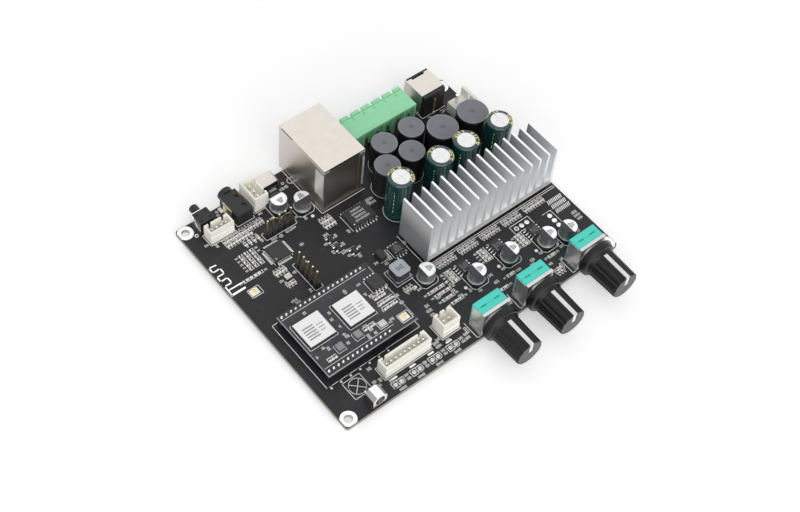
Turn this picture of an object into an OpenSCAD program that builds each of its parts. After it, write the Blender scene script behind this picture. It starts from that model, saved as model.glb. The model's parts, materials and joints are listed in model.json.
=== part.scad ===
// Audio amplifier board: a black circuit board with a finned heatsink, three knobs along the
// front edge, connectors along the back edge and a plug-on wireless module.
// Lengths are in millimetres. X runs along the knob edge, Y from the knobs to the connectors
// and Z up. The origin is the middle of the mounting holes, on the board's underside.

/* [Board] */
// Width of the board along the knob edge
board_w = 125; // [125:0.5:160]
// Depth of the board from the knob edge to the connector edge
board_d = 99; // [99:0.5:130]
// Thickness of the board
board_t = 1.6; // [1:0.1:2.4]
// Radius of the board's corners
board_corner_r = 1; // [0.4:0.1:2]
// Radius of the mounting holes
mount_hole_r = 1.6; // [1.2:0.05:2]
// Distance from a mounting hole's centre to the two edges beside it
mount_inset = 2.75; // [2.5:0.05:4]
// Radius of the unfitted lamp and header holes
spare_hole_r = 0.5; // [0.3:0.05:0.7]
// Length of the heavy lead tails that the board stands on
heavy_tail_len = 1.8; // [1.5:0.1:3]
// Length of the other lead tails
light_tail_len = 1.3; // [0.8:0.1:1.4]
// Radius of a lead tail
tail_r = 0.5; // [0.3:0.05:0.8]

/* [Heatsink] */
// Length of the heatsink along the board
heatsink_w = 60.4; // [50:0.2:70]
// Depth of the heatsink, which is the length of a fin
heatsink_d = 15.6; // [12:0.2:18]
// Thickness of the heatsink's base
heatsink_base_t = 3; // [2:0.1:5]
// Number of fins
fin_count = 15; // [8:1:18]
// Height of a fin above the base
fin_h = 17.3; // [8:0.1:24]
// Thickness of a fin at its root
fin_root_t = 1.3; // [1:0.1:2]
// Thickness of a fin at its tip
fin_tip_t = 0.9; // [0.6:0.1:2]
// Height of an amplifier chip
amp_chip_h = 1.2; // [0.8:0.1:2]
// Length of an amplifier chip along the board
amp_chip_l = 11; // [8:0.5:14]
// Width of an amplifier chip
amp_chip_w = 6.1; // [4:0.1:8]
// Thickness of a thermal pad
thermal_pad_t = 0.5; // [0.2:0.1:1.5]
// Radius of a heatsink screw's shank
screw_r = 1.5; // [1:0.1:1.8]
// Radius of a heatsink screw's head
screw_head_r = 2.75; // [2:0.1:3.5]
// Height of a heatsink screw's head
screw_head_h = 1.5; // [1:0.1:1.5]
// Length of screw inside the heatsink
screw_grip = 2.2; // [1:0.1:2.5]
// Gap around a screw in its hole
screw_clearance = 0.1; // [0.05:0.05:0.3]

/* [Capacitors and inductors] */
// Radius of a bulk capacitor
bulk_r = 5; // [3:0.1:5.4]
// Height of a bulk capacitor
bulk_h = 20; // [12:0.5:30]
// Depth of the crimp bead around a capacitor
bead_depth = 0.35; // [0.1:0.05:0.5]
// Radius of a small drum inductor
small_drum_r = 5.1; // [3:0.1:5.4]
// Height of a small drum inductor
small_drum_h = 13; // [8:0.5:20]
// Radius of a large drum inductor
large_drum_r = 6.15; // [4:0.05:6.4]
// Height of a large drum inductor
large_drum_h = 13.5; // [8:0.5:20]
// Gap between neighbouring small drum inductors
drum_gap = 0.35; // [0.2:0.05:1]
// Radius of a surface-mount capacitor's can
can_r = 3.15; // [2:0.05:3.3]
// Height of a surface-mount capacitor's can above its base
can_h = 4.9; // [3:0.1:9]
// Side of a surface-mount capacitor's square base
can_base_w = 6.6; // [6.6:0.1:7]
// Thickness of a surface-mount capacitor's base
can_base_t = 1; // [0.6:0.1:1.6]
// Side of the square power inductor
coil_w = 6.6; // [5:0.1:6.8]
// Height of the square power inductor
coil_h = 4.6; // [3:0.1:6]

/* [Back edge connectors] */
// Width of the stacked network jack
jack_w = 18.2; // [17:0.1:18.6]
// Depth of the stacked network jack
jack_d = 26.5; // [24:0.1:27]
// Height of the stacked network jack
jack_h = 22.8; // [21.5:0.1:26]
// Thickness of the network jack's folded shell
jack_sheet = 0.3; // [0.2:0.05:0.5]
// How far the network jack stands past the back edge
jack_overhang = 2.6; // [0:0.1:4]
// Number of poles in the terminal header
pole_count = 6; // [2:1:6]
// Spacing of the terminal header's poles
pole_pitch = 5.08; // [5:0.01:5.1]
// Height of the terminal header
terminal_h = 10; // [8.5:0.1:12]
// Depth of the terminal header without its front lip
terminal_d = 7.6; // [7:0.1:9]
// Wall of the terminal header around its mouth
terminal_wall = 0.8; // [0.6:0.1:1.2]
// Side of a square terminal pin
terminal_pin_w = 1; // [0.6:0.1:1.2]
// Width of the power jack's housing
power_w = 10.1; // [8:0.1:10.5]
// Depth of the power jack's housing
power_d = 11.6; // [10:0.1:12]
// Height of the power jack's housing
power_h = 10.4; // [9:0.1:12]
// Radius of the power jack's plug hole
power_bore_r = 3.2; // [2.5:0.05:3.4]
// Radius of the power jack's centre pin
power_pin_r = 1.05; // [0.6:0.05:1.3]
// Width of the audio jack's housing
audio_w = 6.6; // [6:0.1:7]
// Depth of the audio jack's housing without its barrel
audio_d = 11.2; // [10:0.1:11.4]
// Height of the audio jack's housing
audio_h = 5.2; // [4.6:0.1:6]
// Radius of the audio jack's plug hole
audio_bore_r = 1.8; // [1.6:0.05:2]
// Length of the audio jack's plug hole
audio_bore_len = 11; // [9:0.1:12]
// Outer radius of the audio jack's barrel
audio_barrel_r = 2.9; // [2.5:0.1:3]
// Length of the audio jack's barrel past its housing
audio_barrel_len = 2; // [1.5:0.1:5]
// Width of the small data port's shell
port_w = 7.4; // [6:0.1:7.6]
// Height of the small data port's shell
port_h = 2.8; // [2.4:0.1:3.4]
// Depth of the small data port's shell
port_d = 5.6; // [5:0.1:7]

/* [Push switch] */
// Side of the push switch's base
switch_w = 6.2; // [5.6:0.1:6.6]
// Height of the push switch's base
switch_h = 5.2; // [4.8:0.1:6]
// Radius of the push switch's plunger
plunger_r = 1.7; // [1.2:0.1:1.9]
// How far the plunger stands past the switch's bracket
plunger_reach = 3.9; // [1:0.1:6]
// How far the plunger travels
plunger_travel = 0.25; // [0.1:0.05:0.5]
// Gap around the plunger
plunger_clearance = 0.2; // [0.1:0.05:0.4]

/* [Wire headers] */
// Wall of a wire header's housing
header_wall = 0.7; // [0.5:0.05:0.9]
// Side of a wire header's square pin
header_pin_w = 0.6; // [0.4:0.05:0.8]
// Height of a wire header's pin above its floor
header_pin_h = 3.6; // [2:0.1:4]
// Spacing of a pin header's pins
post_pitch = 2.54; // [2:0.01:2.54]
// Side of a pin header's square pin
post_w = 0.64; // [0.4:0.02:0.8]
// Height of a pin header's pins above the board
post_h = 8.5; // [6:0.1:12]
// Height of a pin header's base
post_base_h = 2.5; // [1.5:0.1:3]

/* [Potentiometers and knobs] */
// Width of a potentiometer
pot_w = 11.4; // [9:0.1:13]
// Depth of a potentiometer's body
pot_d = 5.3; // [4.4:0.1:7]
// Height of a potentiometer
pot_h = 12.5; // [11.5:0.1:15]
// Height of the shaft's axis above the board
pot_axis_h = 6.5; // [6.2:0.1:7.5]
// Thickness of a potentiometer's front plate
pot_plate_t = 1.2; // [0.8:0.1:1.6]
// Distance from the board's front edge back to the front plate
pot_setback = 0.4; // [0.2:0.1:2]
// Outer radius of the bushing around a shaft
bushing_r = 3.5; // [3.4:0.05:4]
// Length of the bushing in front of its plate
bushing_len = 0.8; // [0.6:0.1:5]
// Radius of a shaft
shaft_r = 3; // [2:0.05:3.1]
// Running gap around a shaft
shaft_clearance = 0.05; // [0.03:0.01:0.1]
// Radius of a knob's skirt
knob_skirt_r = 7.3; // [6.4:0.1:8]
// Thickness of a knob's skirt
knob_skirt_t = 3.2; // [1:0.1:4]
// Radius of a knob's grip next to its skirt
knob_grip_r = 5.8; // [5:0.1:6]
// Radius of a knob's grip at its end
knob_end_r = 5.5; // [4.4:0.1:5.8]
// Length of a knob
knob_len = 16.4; // [13:0.1:20]
// Depth of the hole in a knob
knob_bore_depth = 12.5; // [8:0.1:13.5]
// Number of flutes around a knob's grip, counting the place of the pointer
flute_count = 14; // [9:1:16]
// Radius of a flute
flute_r = 1.2; // [0.6:0.05:1.5]
// Depth of a flute
flute_depth = 0.4; // [0.2:0.05:0.5]
// Width of the pointer groove in a knob
pointer_w = 1.6; // [0.8:0.1:2]
// Depth of the pointer groove
pointer_depth = 0.25; // [0.1:0.05:0.4]
// Length of the pointer groove on a knob's end
pointer_end_len = 4.8; // [0.5:0.1:5]

/* [Wireless module] */
// Width of the wireless module's board
module_w = 38.4; // [36:0.1:39]
// Depth of the wireless module's board
module_d = 29; // [27:0.1:29.4]
// Thickness of the wireless module's board
module_t = 1; // [0.6:0.1:1.6]
// Gap between the main board and the wireless module's board
module_lift = 4.2; // [3:0.1:6]
// Spacing of the wireless module's pins
module_pitch = 2; // [1.27:0.01:2]
// Number of pins in the module's front row
module_front_pins = 14; // [6:1:17]
// Number of pins in the module's back row
module_back_pins = 18; // [6:1:18]
// Side of a large square chip on the module
module_chip_w = 11; // [8:0.1:12]
// Height of a large square chip on the module
module_chip_h = 1.1; // [0.6:0.1:2]
// Thickness of a paper label
label_t = 0.1; // [0.05:0.05:0.3]

/* [Chips and small parts] */
// Length of a small eight-lead chip along its leads' row
chip8_l = 4.9; // [4:0.1:5.2]
// Width of a small eight-lead chip between its lead rows
chip8_w = 3.9; // [3:0.1:4.4]
// Height of a small eight-lead chip above the board
chip8_h = 1.5; // [1:0.1:2]
// Length of the interface chip along its leads' row
chip16_l = 10.3; // [9.6:0.1:11]
// Width of the interface chip between its lead rows
chip16_w = 7.4; // [6:0.1:7.6]
// Height of the interface chip above the board
chip16_h = 2.2; // [1.6:0.1:2.6]
// Side of the square controller chip
controller_w = 7; // [6.6:0.1:7.4]
// Height of the square controller chip above the board
controller_h = 1.4; // [1:0.1:1.8]
// Spacing of the leads on the eight-lead and interface chips
lead_pitch = 1.27; // [1:0.01:1.27]
// Spacing of the controller chip's leads
fine_lead_pitch = 0.5; // [0.4:0.05:0.52]
// How far a lead reaches from its chip
lead_run = 1.1; // [0.8:0.1:1.4]
// Thickness of a lead
lead_t = 0.2; // [0.1:0.05:0.3]
// Gap between a chip's underside and the board
chip_gap = 0.1; // [0.05:0.05:0.3]
// Length of a chip resistor or chip capacitor
passive_l = 1.1; // [0.8:0.1:1.2]
// Width of a chip resistor or chip capacitor
passive_w = 0.7; // [0.4:0.1:0.8]
// Height of a chip resistor or chip capacitor
passive_h = 0.5; // [0.3:0.1:0.8]

/* [Hidden] */
$fn = 48;

// Corners of the board that places are measured from
front_left = [-1, -1];
front_right = [1, -1];
back_left = [-1, 1];
back_right = [1, 1];

// Places of the parts, each from its corner of the board
heatsink_at = [-31.8, 42.4];
bulk_at = [[-55, -39.5], [-37.3, -40.4], [-25.1, -40.4], [-8.8, -40.4]];
first_drum_at = [-45.9, -19.7];
large_drum_at = [[-23.9, -26.8], [-9.9, -27.6]];
supply_cans_at = [[36, -13.25], [43.1, -17.9]];
filter_can_at = [59.2, 30.4];
amp_cans_at = [[-51.6, 19.5], [-36, 19.4], [-20.5, 16.4]];
end_can_at = [-12.3, 14.1];
coil_at = [52.4, 37.1];
jack_x = 56.95;
terminal_x = -37.74;
power_x = -13.55;
audio_x = 23;
port_x = 39;
switch_at = [10.2, -3.4];
controller_at = [24, -28.9];
interface_at = [56.9, -33.5];
regulator_at = [58.7, 45.8];
diode_at = [52.2, 47.1];
pot_x = [-60.4, -40.3, -14.8];
module_at = [24.8, 31.5];
receiver_at = [14.3, 0.6];
coax_at = [7.5, -37.6];
lamp_at = [24.6, 3.35];
lamp_step = 8.08;
lamp_count = 4;
lamp_pitch = 2.54;
spare_rows = [[[-22.55, 27.3], 0], [[-11.2, 21.85], 90]];

// Kinds of wire header: pin spacing, end margin, width, height and floor
fine_kind = [2, 1.95, 4.5, 6, 1.2];
coarse_kind = [2.5, 2.45, 5.75, 7, 1.5];

// Wire headers: corner, place, turn, pins and kind
signal_spec = [back_left, [12.3, -9.9], 180, 4, fine_kind];
aux_spec = [back_left, [31.1, -4.85], 90, 3, coarse_kind];
display_spec = [front_left, [32, 9.6], 180, 9, fine_kind];
lamp_spec = [front_left, [51.45, 10.8], 180, 2, coarse_kind];
boxed_specs = [signal_spec, aux_spec, display_spec, lamp_spec];

// Supply header: place, pole spacing, depth, base height, latch wall and latch height
supply_at = [-4.5, -16.8];
supply_pitch = 3.96;
supply_d = 7.8;
supply_base_h = 4;
supply_latch_t = 1.2;
supply_latch_h = 8.2;
supply_pin_w = 1.1;
supply_pin_h = 8;

// Pin headers: corner, place, turn and pins
post_specs = [[back_left, [30.75, -20.75], 0, 5], [front_left, [26.6, 56], 90, 5]];

// Rows of chip resistors and capacitors: corner, first place, step, count and turn
passive_rows = [
    [back_left, [11.5, -14], [1.25, 0], 14, 90],
    [back_left, [11.5, -15.9], [1.25, 0], 9, 90],
    [back_left, [17, -19.2], [1.8, 0], 4, 90],
    [back_left, [12.6, -22.5], [0, -1.6], 5, 0],
    [back_left, [14.9, -22.5], [0, -1.6], 5, 0],
    [back_left, [17.2, -22.5], [0, -1.6], 5, 0],
    [back_left, [18, -35.8], [1.3, 0], 4, 90],
    [back_left, [18.6, -42], [1.3, 0], 3, 90],
    [back_left, [7.6, -32.1], [1.7, 0], 5, 0],
    [back_left, [44.6, -27.4], [1.3, 0], 4, 90],
    [back_left, [44.6, -29.6], [1.3, 0], 4, 90],
    [front_right, [-59, 31.9], [1.25, 0], 7, 90],
    [front_right, [-48.5, 31.9], [1.25, 0], 7, 90],
    [front_right, [-38, 31.9], [1.25, 0], 7, 90],
    [front_right, [-27.5, 31.9], [1.25, 0], 7, 90],
    [front_right, [-17, 31.9], [1.25, 0], 8, 90],
    [front_left, [56.2, 24.6], [1.9, 0], 4, 0],
    [front_left, [57.4, 22.2], [1.9, 0], 4, 0],
    [front_left, [58.6, 19.4], [1.9, 0], 3, 0],
    [front_left, [60.4, 16.6], [1.9, 0], 3, 0],
    [front_left, [50.2, 30.4], [1.4, 0], 3, 90],
    [front_left, [54.4, 44.6], [0, 1.6], 3, 0],
    [front_right, [-46.8, 10.6], [1.9, 0], 2, 0],
    [front_right, [-41.2, 13.6], [1.9, 0], 2, 0],
    [front_right, [-26.2, 4.2], [1.3, 0], 3, 90],
    [front_right, [-23.6, 11], [1.9, 0], 2, 0]];
// Columns of chip resistors and capacitors beside each amplifier stage's chip
stage_columns = [-6.6, -4.8];
stage_rows = 4;
stage_step = 1.5;
// Rows of small parts on the wireless module: first place from its middle, step, count and turn
module_passive_rows = [
    [[12.2, -4.6], [1.25, 0], 5, 90],
    [[12.2, -2.2], [1.25, 0], 5, 90],
    [[12.2, 0.4], [1.25, 0], 4, 90],
    [[1.6, -7.2], [1.25, 0], 4, 90],
    [[-15.4, -9.6], [1.25, 0], 3, 90]];

// Derived sizes
eps = 0.01;
heatsink_lift = amp_chip_h + thermal_pad_t;
fin_pitch = (heatsink_w - fin_root_t) / (fin_count - 1);
screw_x = heatsink_w / 2 - 2 * screw_head_r;
amp_chip_x = heatsink_w / 4;
drum_pitch = 2 * small_drum_r + drum_gap;
drum_angles = [-57, -123];
third_drum_dx = 1.21 * drum_pitch;
pad_margin = 0.05;
small_drums_at = [first_drum_at,
    first_drum_at + drum_pitch * [cos(drum_angles[0]), sin(drum_angles[0])],
    first_drum_at + [third_drum_dx, 0],
    first_drum_at + drum_pitch * [cos(drum_angles[1]), sin(drum_angles[1])]];
stage_gap = 0.3;
stage_chips_at = [for (p = amp_cans_at) p + [-0.5, can_base_w / 2 + stage_gap + chip8_l / 2]];
cans = [for (p = supply_cans_at) [back_left, p],
    [front_left, filter_can_at],
    for (p = amp_cans_at) [front_right, p],
    [front_right, end_can_at]];
pot_body_h = pot_h - 0.2;
pot_back = pot_setback + pot_plate_t;
collar_r = shaft_r + 1;
collar_t = 0.8;
collar_gap = 0.15;
ear_t = 0.3;
knob_back = bushing_len - pot_setback + 0.3;
knob_fit = 0.02;

// A box that stands on Z = 0, centred in X and Y
module slab(size) {
    translate([-size.x / 2, -size.y / 2, 0]) cube(size);
}

// A flat rectangle with round corners
module rounded(size, r) {
    square([size.x - 2 * r, size.y], center = true);
    square([size.x, size.y - 2 * r], center = true);
    for (x = [-1, 1], y = [-1, 1])
        translate([x * (size.x / 2 - r), y * (size.y / 2 - r)]) circle(r);
}

// Quarter-round points from the side of a turned shape to its end
function round_over(r, h, e) = [for (k = [0 : 3]) [r - e + e * cos(30 * k), h - e + e * sin(30 * k)]];

// A place on the board's top, measured from one of its corners
module spot(p, corner, z = board_t) {
    translate([corner.x * board_w / 2 + p.x, corner.y * board_d / 2 + p.y, z]) children();
}

// Main board
module main_pcb() {
    hole_x = board_w / 2 - mount_inset;
    hole_y = board_d / 2 - mount_inset;
    color([0.06, 0.06, 0.07]) linear_extrude(board_t) difference() {
        rounded([board_w, board_d], board_corner_r);
        for (x = [-1, 1], y = [-1, 1]) translate([x * hole_x, y * hole_y]) circle(mount_hole_r);
        translate([board_w / 2 + heatsink_at.x, heatsink_at.y - board_d / 2])
            for (s = [-1, 1]) translate([s * screw_x, 0]) circle(screw_r + screw_clearance);
        translate([-board_w / 2, -board_d / 2]) for (i = [0 : lamp_count - 1], s = [-1, 1])
            translate(lamp_at + [i * lamp_step + s * lamp_pitch / 2, 0]) circle(spare_hole_r);
        translate([board_w / 2, -board_d / 2]) for (row = spare_rows, i = [-1 : 1])
            translate(row[0]) rotate(row[1]) translate([i * post_pitch, 0]) circle(spare_hole_r);
    }
}

// Heatsink: one extrusion, fins tapered towards their tips
module heatsink_profile() {
    chamfer = fin_tip_t / 4;
    translate([-heatsink_w / 2, 0]) square([heatsink_w, heatsink_base_t]);
    for (i = [0 : fin_count - 1])
        translate([-heatsink_w / 2 + fin_root_t / 2 + i * fin_pitch, heatsink_base_t - eps])
            polygon([[-fin_root_t / 2, 0], [fin_root_t / 2, 0], [fin_tip_t / 2, fin_h - chamfer],
                [fin_tip_t / 2 - chamfer, fin_h], [chamfer - fin_tip_t / 2, fin_h],
                [-fin_tip_t / 2, fin_h - chamfer]]);
}

module heatsink() {
    color([0.78, 0.79, 0.81]) spot(heatsink_at, front_right) translate([0, 0, heatsink_lift])
        difference() {
            rotate([90, 0, 0]) linear_extrude(heatsink_d, center = true) heatsink_profile();
            for (s = [-1, 1]) translate([s * screw_x, 0, -eps])
                cylinder(r = screw_r + screw_clearance, h = screw_grip + 2 * screw_clearance);
        }
}

module heatsink_screws() {
    color([0.6, 0.6, 0.62]) spot(heatsink_at, front_right, 0) for (s = [-1, 1])
        translate([s * screw_x, 0, 0]) {
            translate([0, 0, -screw_head_h]) cylinder(r = screw_head_r, h = screw_head_h);
            cylinder(r = screw_r, h = board_t + heatsink_lift + screw_grip);
        }
}

module amplifier_chips() {
    color([0.1, 0.1, 0.1]) spot(heatsink_at, front_right) for (s = [-1, 1])
        translate([s * amp_chip_x, 0, 0]) slab([amp_chip_l, amp_chip_w, amp_chip_h]);
}

module thermal_pads() {
    pad = [amp_chip_l - 2 * pad_margin, amp_chip_w - 2 * pad_margin, thermal_pad_t];
    color([0.55, 0.6, 0.68]) spot(heatsink_at, front_right) for (s = [-1, 1])
        translate([s * amp_chip_x, 0, amp_chip_h]) slab(pad);
}

// Half outline of a crimped can: foot, bead, rolled shoulder and a top set inside the rim
function can_outline(r, h, bead_z, bead, shoulder, rim, dish) = concat(
    [[0, 0], [r - bead, 0], [r, bead], [r, bead_z - 2 * bead], [r - bead, bead_z], [r, bead_z + 2 * bead]],
    round_over(r, h, shoulder),
    [[r - shoulder - rim, h], [r - shoulder - rim - dish, h - dish], [0, h - dish]]);

bulk_bead_z = 2.6;
bulk_shoulder = 0.9;
bulk_rim = 0.4;
bulk_dish = 0.15;
can_bead_z = 1.1;
can_bead = 0.2;
can_shoulder = 0.3;
can_rim = 0.2;
can_dish = 0.05;

module bulk_capacitors() {
    outline = can_outline(bulk_r, bulk_h, bulk_bead_z, bead_depth, bulk_shoulder, bulk_rim, bulk_dish);
    color([0.02, 0.2, 0.18]) for (p = bulk_at) spot(p, back_right) rotate_extrude() polygon(outline);
}

// Half outline of a sleeved drum: base plate, waist below the sleeve, chamfered top
drum_plate_h = 0.9;
drum_plate_step = 0.3;
drum_waist_step = 0.7;
drum_waist_h = 0.6;
drum_slope = 0.2;
drum_chamfer = 0.4;

function drum_outline(r, h) = let (z = drum_plate_h + drum_slope) [
    [0, 0], [r - drum_plate_step, 0], [r - drum_plate_step, drum_plate_h], [r - drum_waist_step, z],
    [r - drum_waist_step, z + drum_waist_h], [r, z + drum_waist_h + drum_slope], [r, h - drum_chamfer],
    [r - drum_chamfer, h], [0, h]];

module small_inductors() {
    color([0.12, 0.12, 0.13]) for (p = small_drums_at) spot(p, back_right)
        rotate_extrude() polygon(drum_outline(small_drum_r, small_drum_h));
}

module large_inductors() {
    color([0.12, 0.12, 0.13]) for (p = large_drum_at) spot(p, back_right)
        rotate_extrude() polygon(drum_outline(large_drum_r, large_drum_h));
}

module can_capacitors() {
    outline = can_outline(can_r, can_h, can_bead_z, can_bead, can_shoulder, can_rim, can_dish);
    color([0.75, 0.76, 0.77]) for (c = cans) spot(c[1], c[0]) translate([0, 0, can_base_t])
        rotate_extrude() polygon(outline);
}

// Base of a surface-mount capacitor: a square with two corners cut off
module can_base_outline() {
    h = can_base_w / 2;
    cut = can_base_w / 5;
    polygon([[-h, -h + cut], [-h + cut, -h], [h - cut, -h], [h, -h + cut], [h, h], [-h, h]]);
}

module can_capacitor_bases() {
    color([0.08, 0.08, 0.08]) for (c = cans) spot(c[1], c[0])
        linear_extrude(can_base_t) can_base_outline();
}

// Square power inductor: a shielded block with cut corners on a wider foot
module cut_square(w, cut) {
    h = w / 2;
    polygon([[-h, cut - h], [cut - h, -h], [h - cut, -h], [h, cut - h],
        [h, h - cut], [h - cut, h], [cut - h, h], [-h, h - cut]]);
}

module power_inductor() {
    foot_h = 0.8;
    foot_w = 0.4;
    color([0.4, 0.42, 0.46]) spot(coil_at, front_left) {
        linear_extrude(foot_h) cut_square(coil_w, 0.6);
        translate([0, 0, foot_h - eps])
            linear_extrude(coil_h - foot_h + eps) cut_square(coil_w - foot_w, 0.9);
    }
}

// Stacked network jack: the network socket below, a data socket above it, both open to the back
socket_w = 11.8;
socket_z = 2.2;
socket_h = 9.2;
socket_depth = 15;
latch_w = 6;
latch_drop = 1.4;
slot_w = 13;
slot_z = 14.4;
slot_h = 5.8;
slot_depth = 11;
tongue_w = 11;
tongue_t = 1.9;
tongue_len = 8.6;
jack_gap = 0.05;
strap_w = 2.4;
strap_t = 0.15;
slit_w = 5;
slit_h = 0.5;
slit_x = 3.95;
side_strap_w = 4.8;
side_strap_drop = 0.3;

module jack_frame() {
    spot([jack_x, jack_overhang - jack_d / 2], back_left) children();
}

// Mouths of both sockets, cut from the back
module jack_mouths(depth_socket, depth_slot) {
    translate([-socket_w / 2, jack_d / 2 - depth_socket, socket_z])
        cube([socket_w, depth_socket + 1, socket_h]);
    translate([-latch_w / 2, jack_d / 2 - depth_socket, socket_z - latch_drop])
        cube([latch_w, depth_socket + 1, latch_drop + eps]);
    translate([-slot_w / 2, jack_d / 2 - depth_slot, slot_z]) cube([slot_w, depth_slot + 1, slot_h]);
}

module network_jack_shell() {
    inner = [jack_w - 2 * jack_sheet, jack_d - 2 * jack_sheet, jack_h - jack_sheet + 1];
    color([0.8, 0.78, 0.74]) jack_frame() {
        difference() {
            slab([jack_w, jack_d, jack_h]);
            translate([0, 0, -1]) slab(inner);
            jack_mouths(2 * jack_sheet, 2 * jack_sheet);
            for (x = [-1, 1])
                translate([x * slit_x - slit_w / 2, -jack_d / 2 - 1, jack_h - jack_sheet - slit_h])
                cube([slit_w, 1 + 2 * jack_sheet, slit_h]);
        }
        for (s = [-1, 1]) {
            translate([s * (jack_w / 2 - strap_w / 2), -jack_d / 2 - strap_t / 2, 0])
                slab([strap_w, strap_t, jack_h - 1]);
            translate([s * (jack_w / 2 + strap_t / 2), -jack_d / 4, jack_h - strap_w])
                slab([strap_t, jack_d / 2, strap_w - 1]);
            translate([s * (jack_w / 2 + strap_t / 2), (side_strap_w - jack_d) / 2, 0])
                slab([strap_t, side_strap_w, jack_h - strap_w - side_strap_drop]);
        }
    }
}

module network_jack_insert() {
    body = [jack_w - 2 * jack_sheet - 2 * jack_gap, jack_d - 2 * jack_sheet - 2 * jack_gap,
        jack_h - jack_sheet - jack_gap];
    color([0.1, 0.1, 0.1]) jack_frame() {
        difference() {
            slab(body);
            jack_mouths(socket_depth, slot_depth);
        }
        translate([0, jack_d / 2 - slot_depth + tongue_len / 2 - eps, slot_z + (slot_h - tongue_t) / 2])
            slab([tongue_w, tongue_len, tongue_t]);
    }
}

// Eight spring contacts that hang from the network socket's ceiling
contact_count = 8;
contact_pitch = 1.02;
contact_w = 0.4;
contact_t = 0.3;
contact_flat = 3;
contact_reach = 9;
contact_dip = 2.2;

module network_jack_contacts() {
    profile = [[0, 0], [contact_flat, 0], [contact_flat + contact_reach, -contact_dip],
        [contact_flat + contact_reach, -contact_dip - contact_t], [contact_flat, -contact_t],
        [0, -contact_t]];
    color([0.85, 0.7, 0.3]) jack_frame() for (i = [0 : contact_count - 1])
        translate([(i - (contact_count - 1) / 2) * contact_pitch, jack_d / 2 - socket_depth,
            socket_z + socket_h])
            rotate([90, 0, 90]) linear_extrude(contact_w, center = true) polygon(profile);
}

// Terminal header: a box open to the back, pins bent down in front of it
terminal_w = pole_count * pole_pitch;
terminal_lip = 2;
terminal_lip_t = 1.2;
terminal_back = 0.6;
terminal_mouth = terminal_d - 1.2;
mouth_floor = 1.6;
terminal_axis_h = 4.8;
key_w = 3.6;
key_len = 1.4;
key_shift = 1.3;
key_t = 1;
pin_gap = 0.03;
rib_t = 0.8;
tick_len = 2.4;
tick_gap = 0.8;
bend_gap = 0.2;
tip_setback = 1;

module terminal_frame() {
    spot([terminal_x, terminal_back], back_right) children();
}

function pole_x(i) = (i - (pole_count - 1) / 2) * pole_pitch;

// The keys stand beside the poles, and the last one ends with the housing
function key_start(i) = pole_x(i) + key_shift - key_w / 2;
function key_end(i) = min(pole_x(i) + key_shift + key_w / 2, terminal_w / 2);

module terminal_housing() {
    mouth_h = terminal_h - mouth_floor - terminal_wall;
    groove = 0.35;
    color([0.38, 0.75, 0.5]) terminal_frame() difference() {
        union() {
            translate([0, -terminal_d / 2 - key_len, 0]) slab([terminal_w, terminal_d, terminal_h]);
            translate([0, -terminal_d - key_len - terminal_lip / 2 + eps, terminal_h - terminal_lip_t])
                slab([terminal_w, terminal_lip, terminal_lip_t]);
            for (i = [0 : pole_count])
                translate([(i - pole_count / 2) * (terminal_w - rib_t) / pole_count,
                    -terminal_d - key_len - terminal_lip / 2 + eps, 0])
                    slab([rib_t, terminal_lip, terminal_h - terminal_lip_t + eps]);
            for (i = [0 : pole_count - 1]) translate([(key_start(i) + key_end(i)) / 2, -key_len / 2 - eps,
                terminal_h - key_t]) slab([key_end(i) - key_start(i), key_len, key_t]);
        }
        translate([0, -key_len - terminal_mouth / 2, mouth_floor])
            slab([terminal_w - 2 * terminal_wall, terminal_mouth + eps, mouth_h]);
        translate([0, -key_len - groove, terminal_h - groove]) slab([terminal_w + 1, groove, 1]);
        for (i = [0 : pole_count - 2])
            translate([key_end(i) + tick_gap, -key_len - tick_len / 2, terminal_h - groove])
                slab([groove, tick_len, 1]);
        for (i = [0 : pole_count - 1]) translate([pole_x(i), -key_len - terminal_d, terminal_axis_h
            - terminal_pin_w / 2 - pin_gap])
            slab([terminal_pin_w + 2 * pin_gap, 2 * terminal_d, terminal_pin_w + 2 * pin_gap]);
    }
}

module terminal_pins() {
    front = -key_len - terminal_d - bend_gap - terminal_pin_w;
    tip = -key_len - tip_setback;
    color([0.75, 0.75, 0.72]) terminal_frame() for (i = [0 : pole_count - 1]) translate([pole_x(i), 0, 0]) {
        translate([-terminal_pin_w / 2, front, terminal_axis_h - terminal_pin_w / 2])
            cube([terminal_pin_w, tip - front, terminal_pin_w]);
        translate([-terminal_pin_w / 2, front, 0])
            cube([terminal_pin_w, terminal_pin_w, terminal_axis_h]);
    }
}

// Power jack: plastic housing, open shell over it, plug hole to the back
power_back = 0.9;
power_axis_h = 6.2;
power_bore_len = 9;
power_pin_len = 8;
shell_sheet = 0.3;
shell_gap = 0.05;
shell_d = 10.2;
shell_notch = [6, 1.6];

module power_frame() {
    spot([power_x, power_back], back_right) children();
}

module power_jack_housing() {
    chamfer = 1.6;
    color([0.07, 0.07, 0.07]) power_frame() difference() {
        translate([0, -power_d / 2, 0]) slab([power_w, power_d, power_h]);
        translate([0, eps, power_axis_h]) rotate([90, 0, 0])
            cylinder(r = power_bore_r, h = power_bore_len + eps);
        translate([0, -power_d, power_h]) rotate([45, 0, 0])
            slab([power_w + 1, chamfer, chamfer]);
    }
}

module power_jack_shell() {
    w = power_w + 2 * shell_gap;
    tab = [2.2, 0.3, 3];
    color([0.8, 0.78, 0.75]) power_frame() {
        difference() {
            translate([0, -shell_d / 2, 0])
                slab([w + 2 * shell_sheet, shell_d, power_h + shell_gap + shell_sheet]);
            translate([0, -shell_d / 2, -1]) slab([w, shell_d + 1, power_h + shell_gap + 1]);
            translate([0, 0, power_h]) slab([shell_notch.x, 2 * shell_notch.y, 2]);
        }
        translate([w / 2 + shell_sheet + tab.x / 2 - eps, -shell_d + 2, 4]) slab(tab);
    }
}

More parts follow.
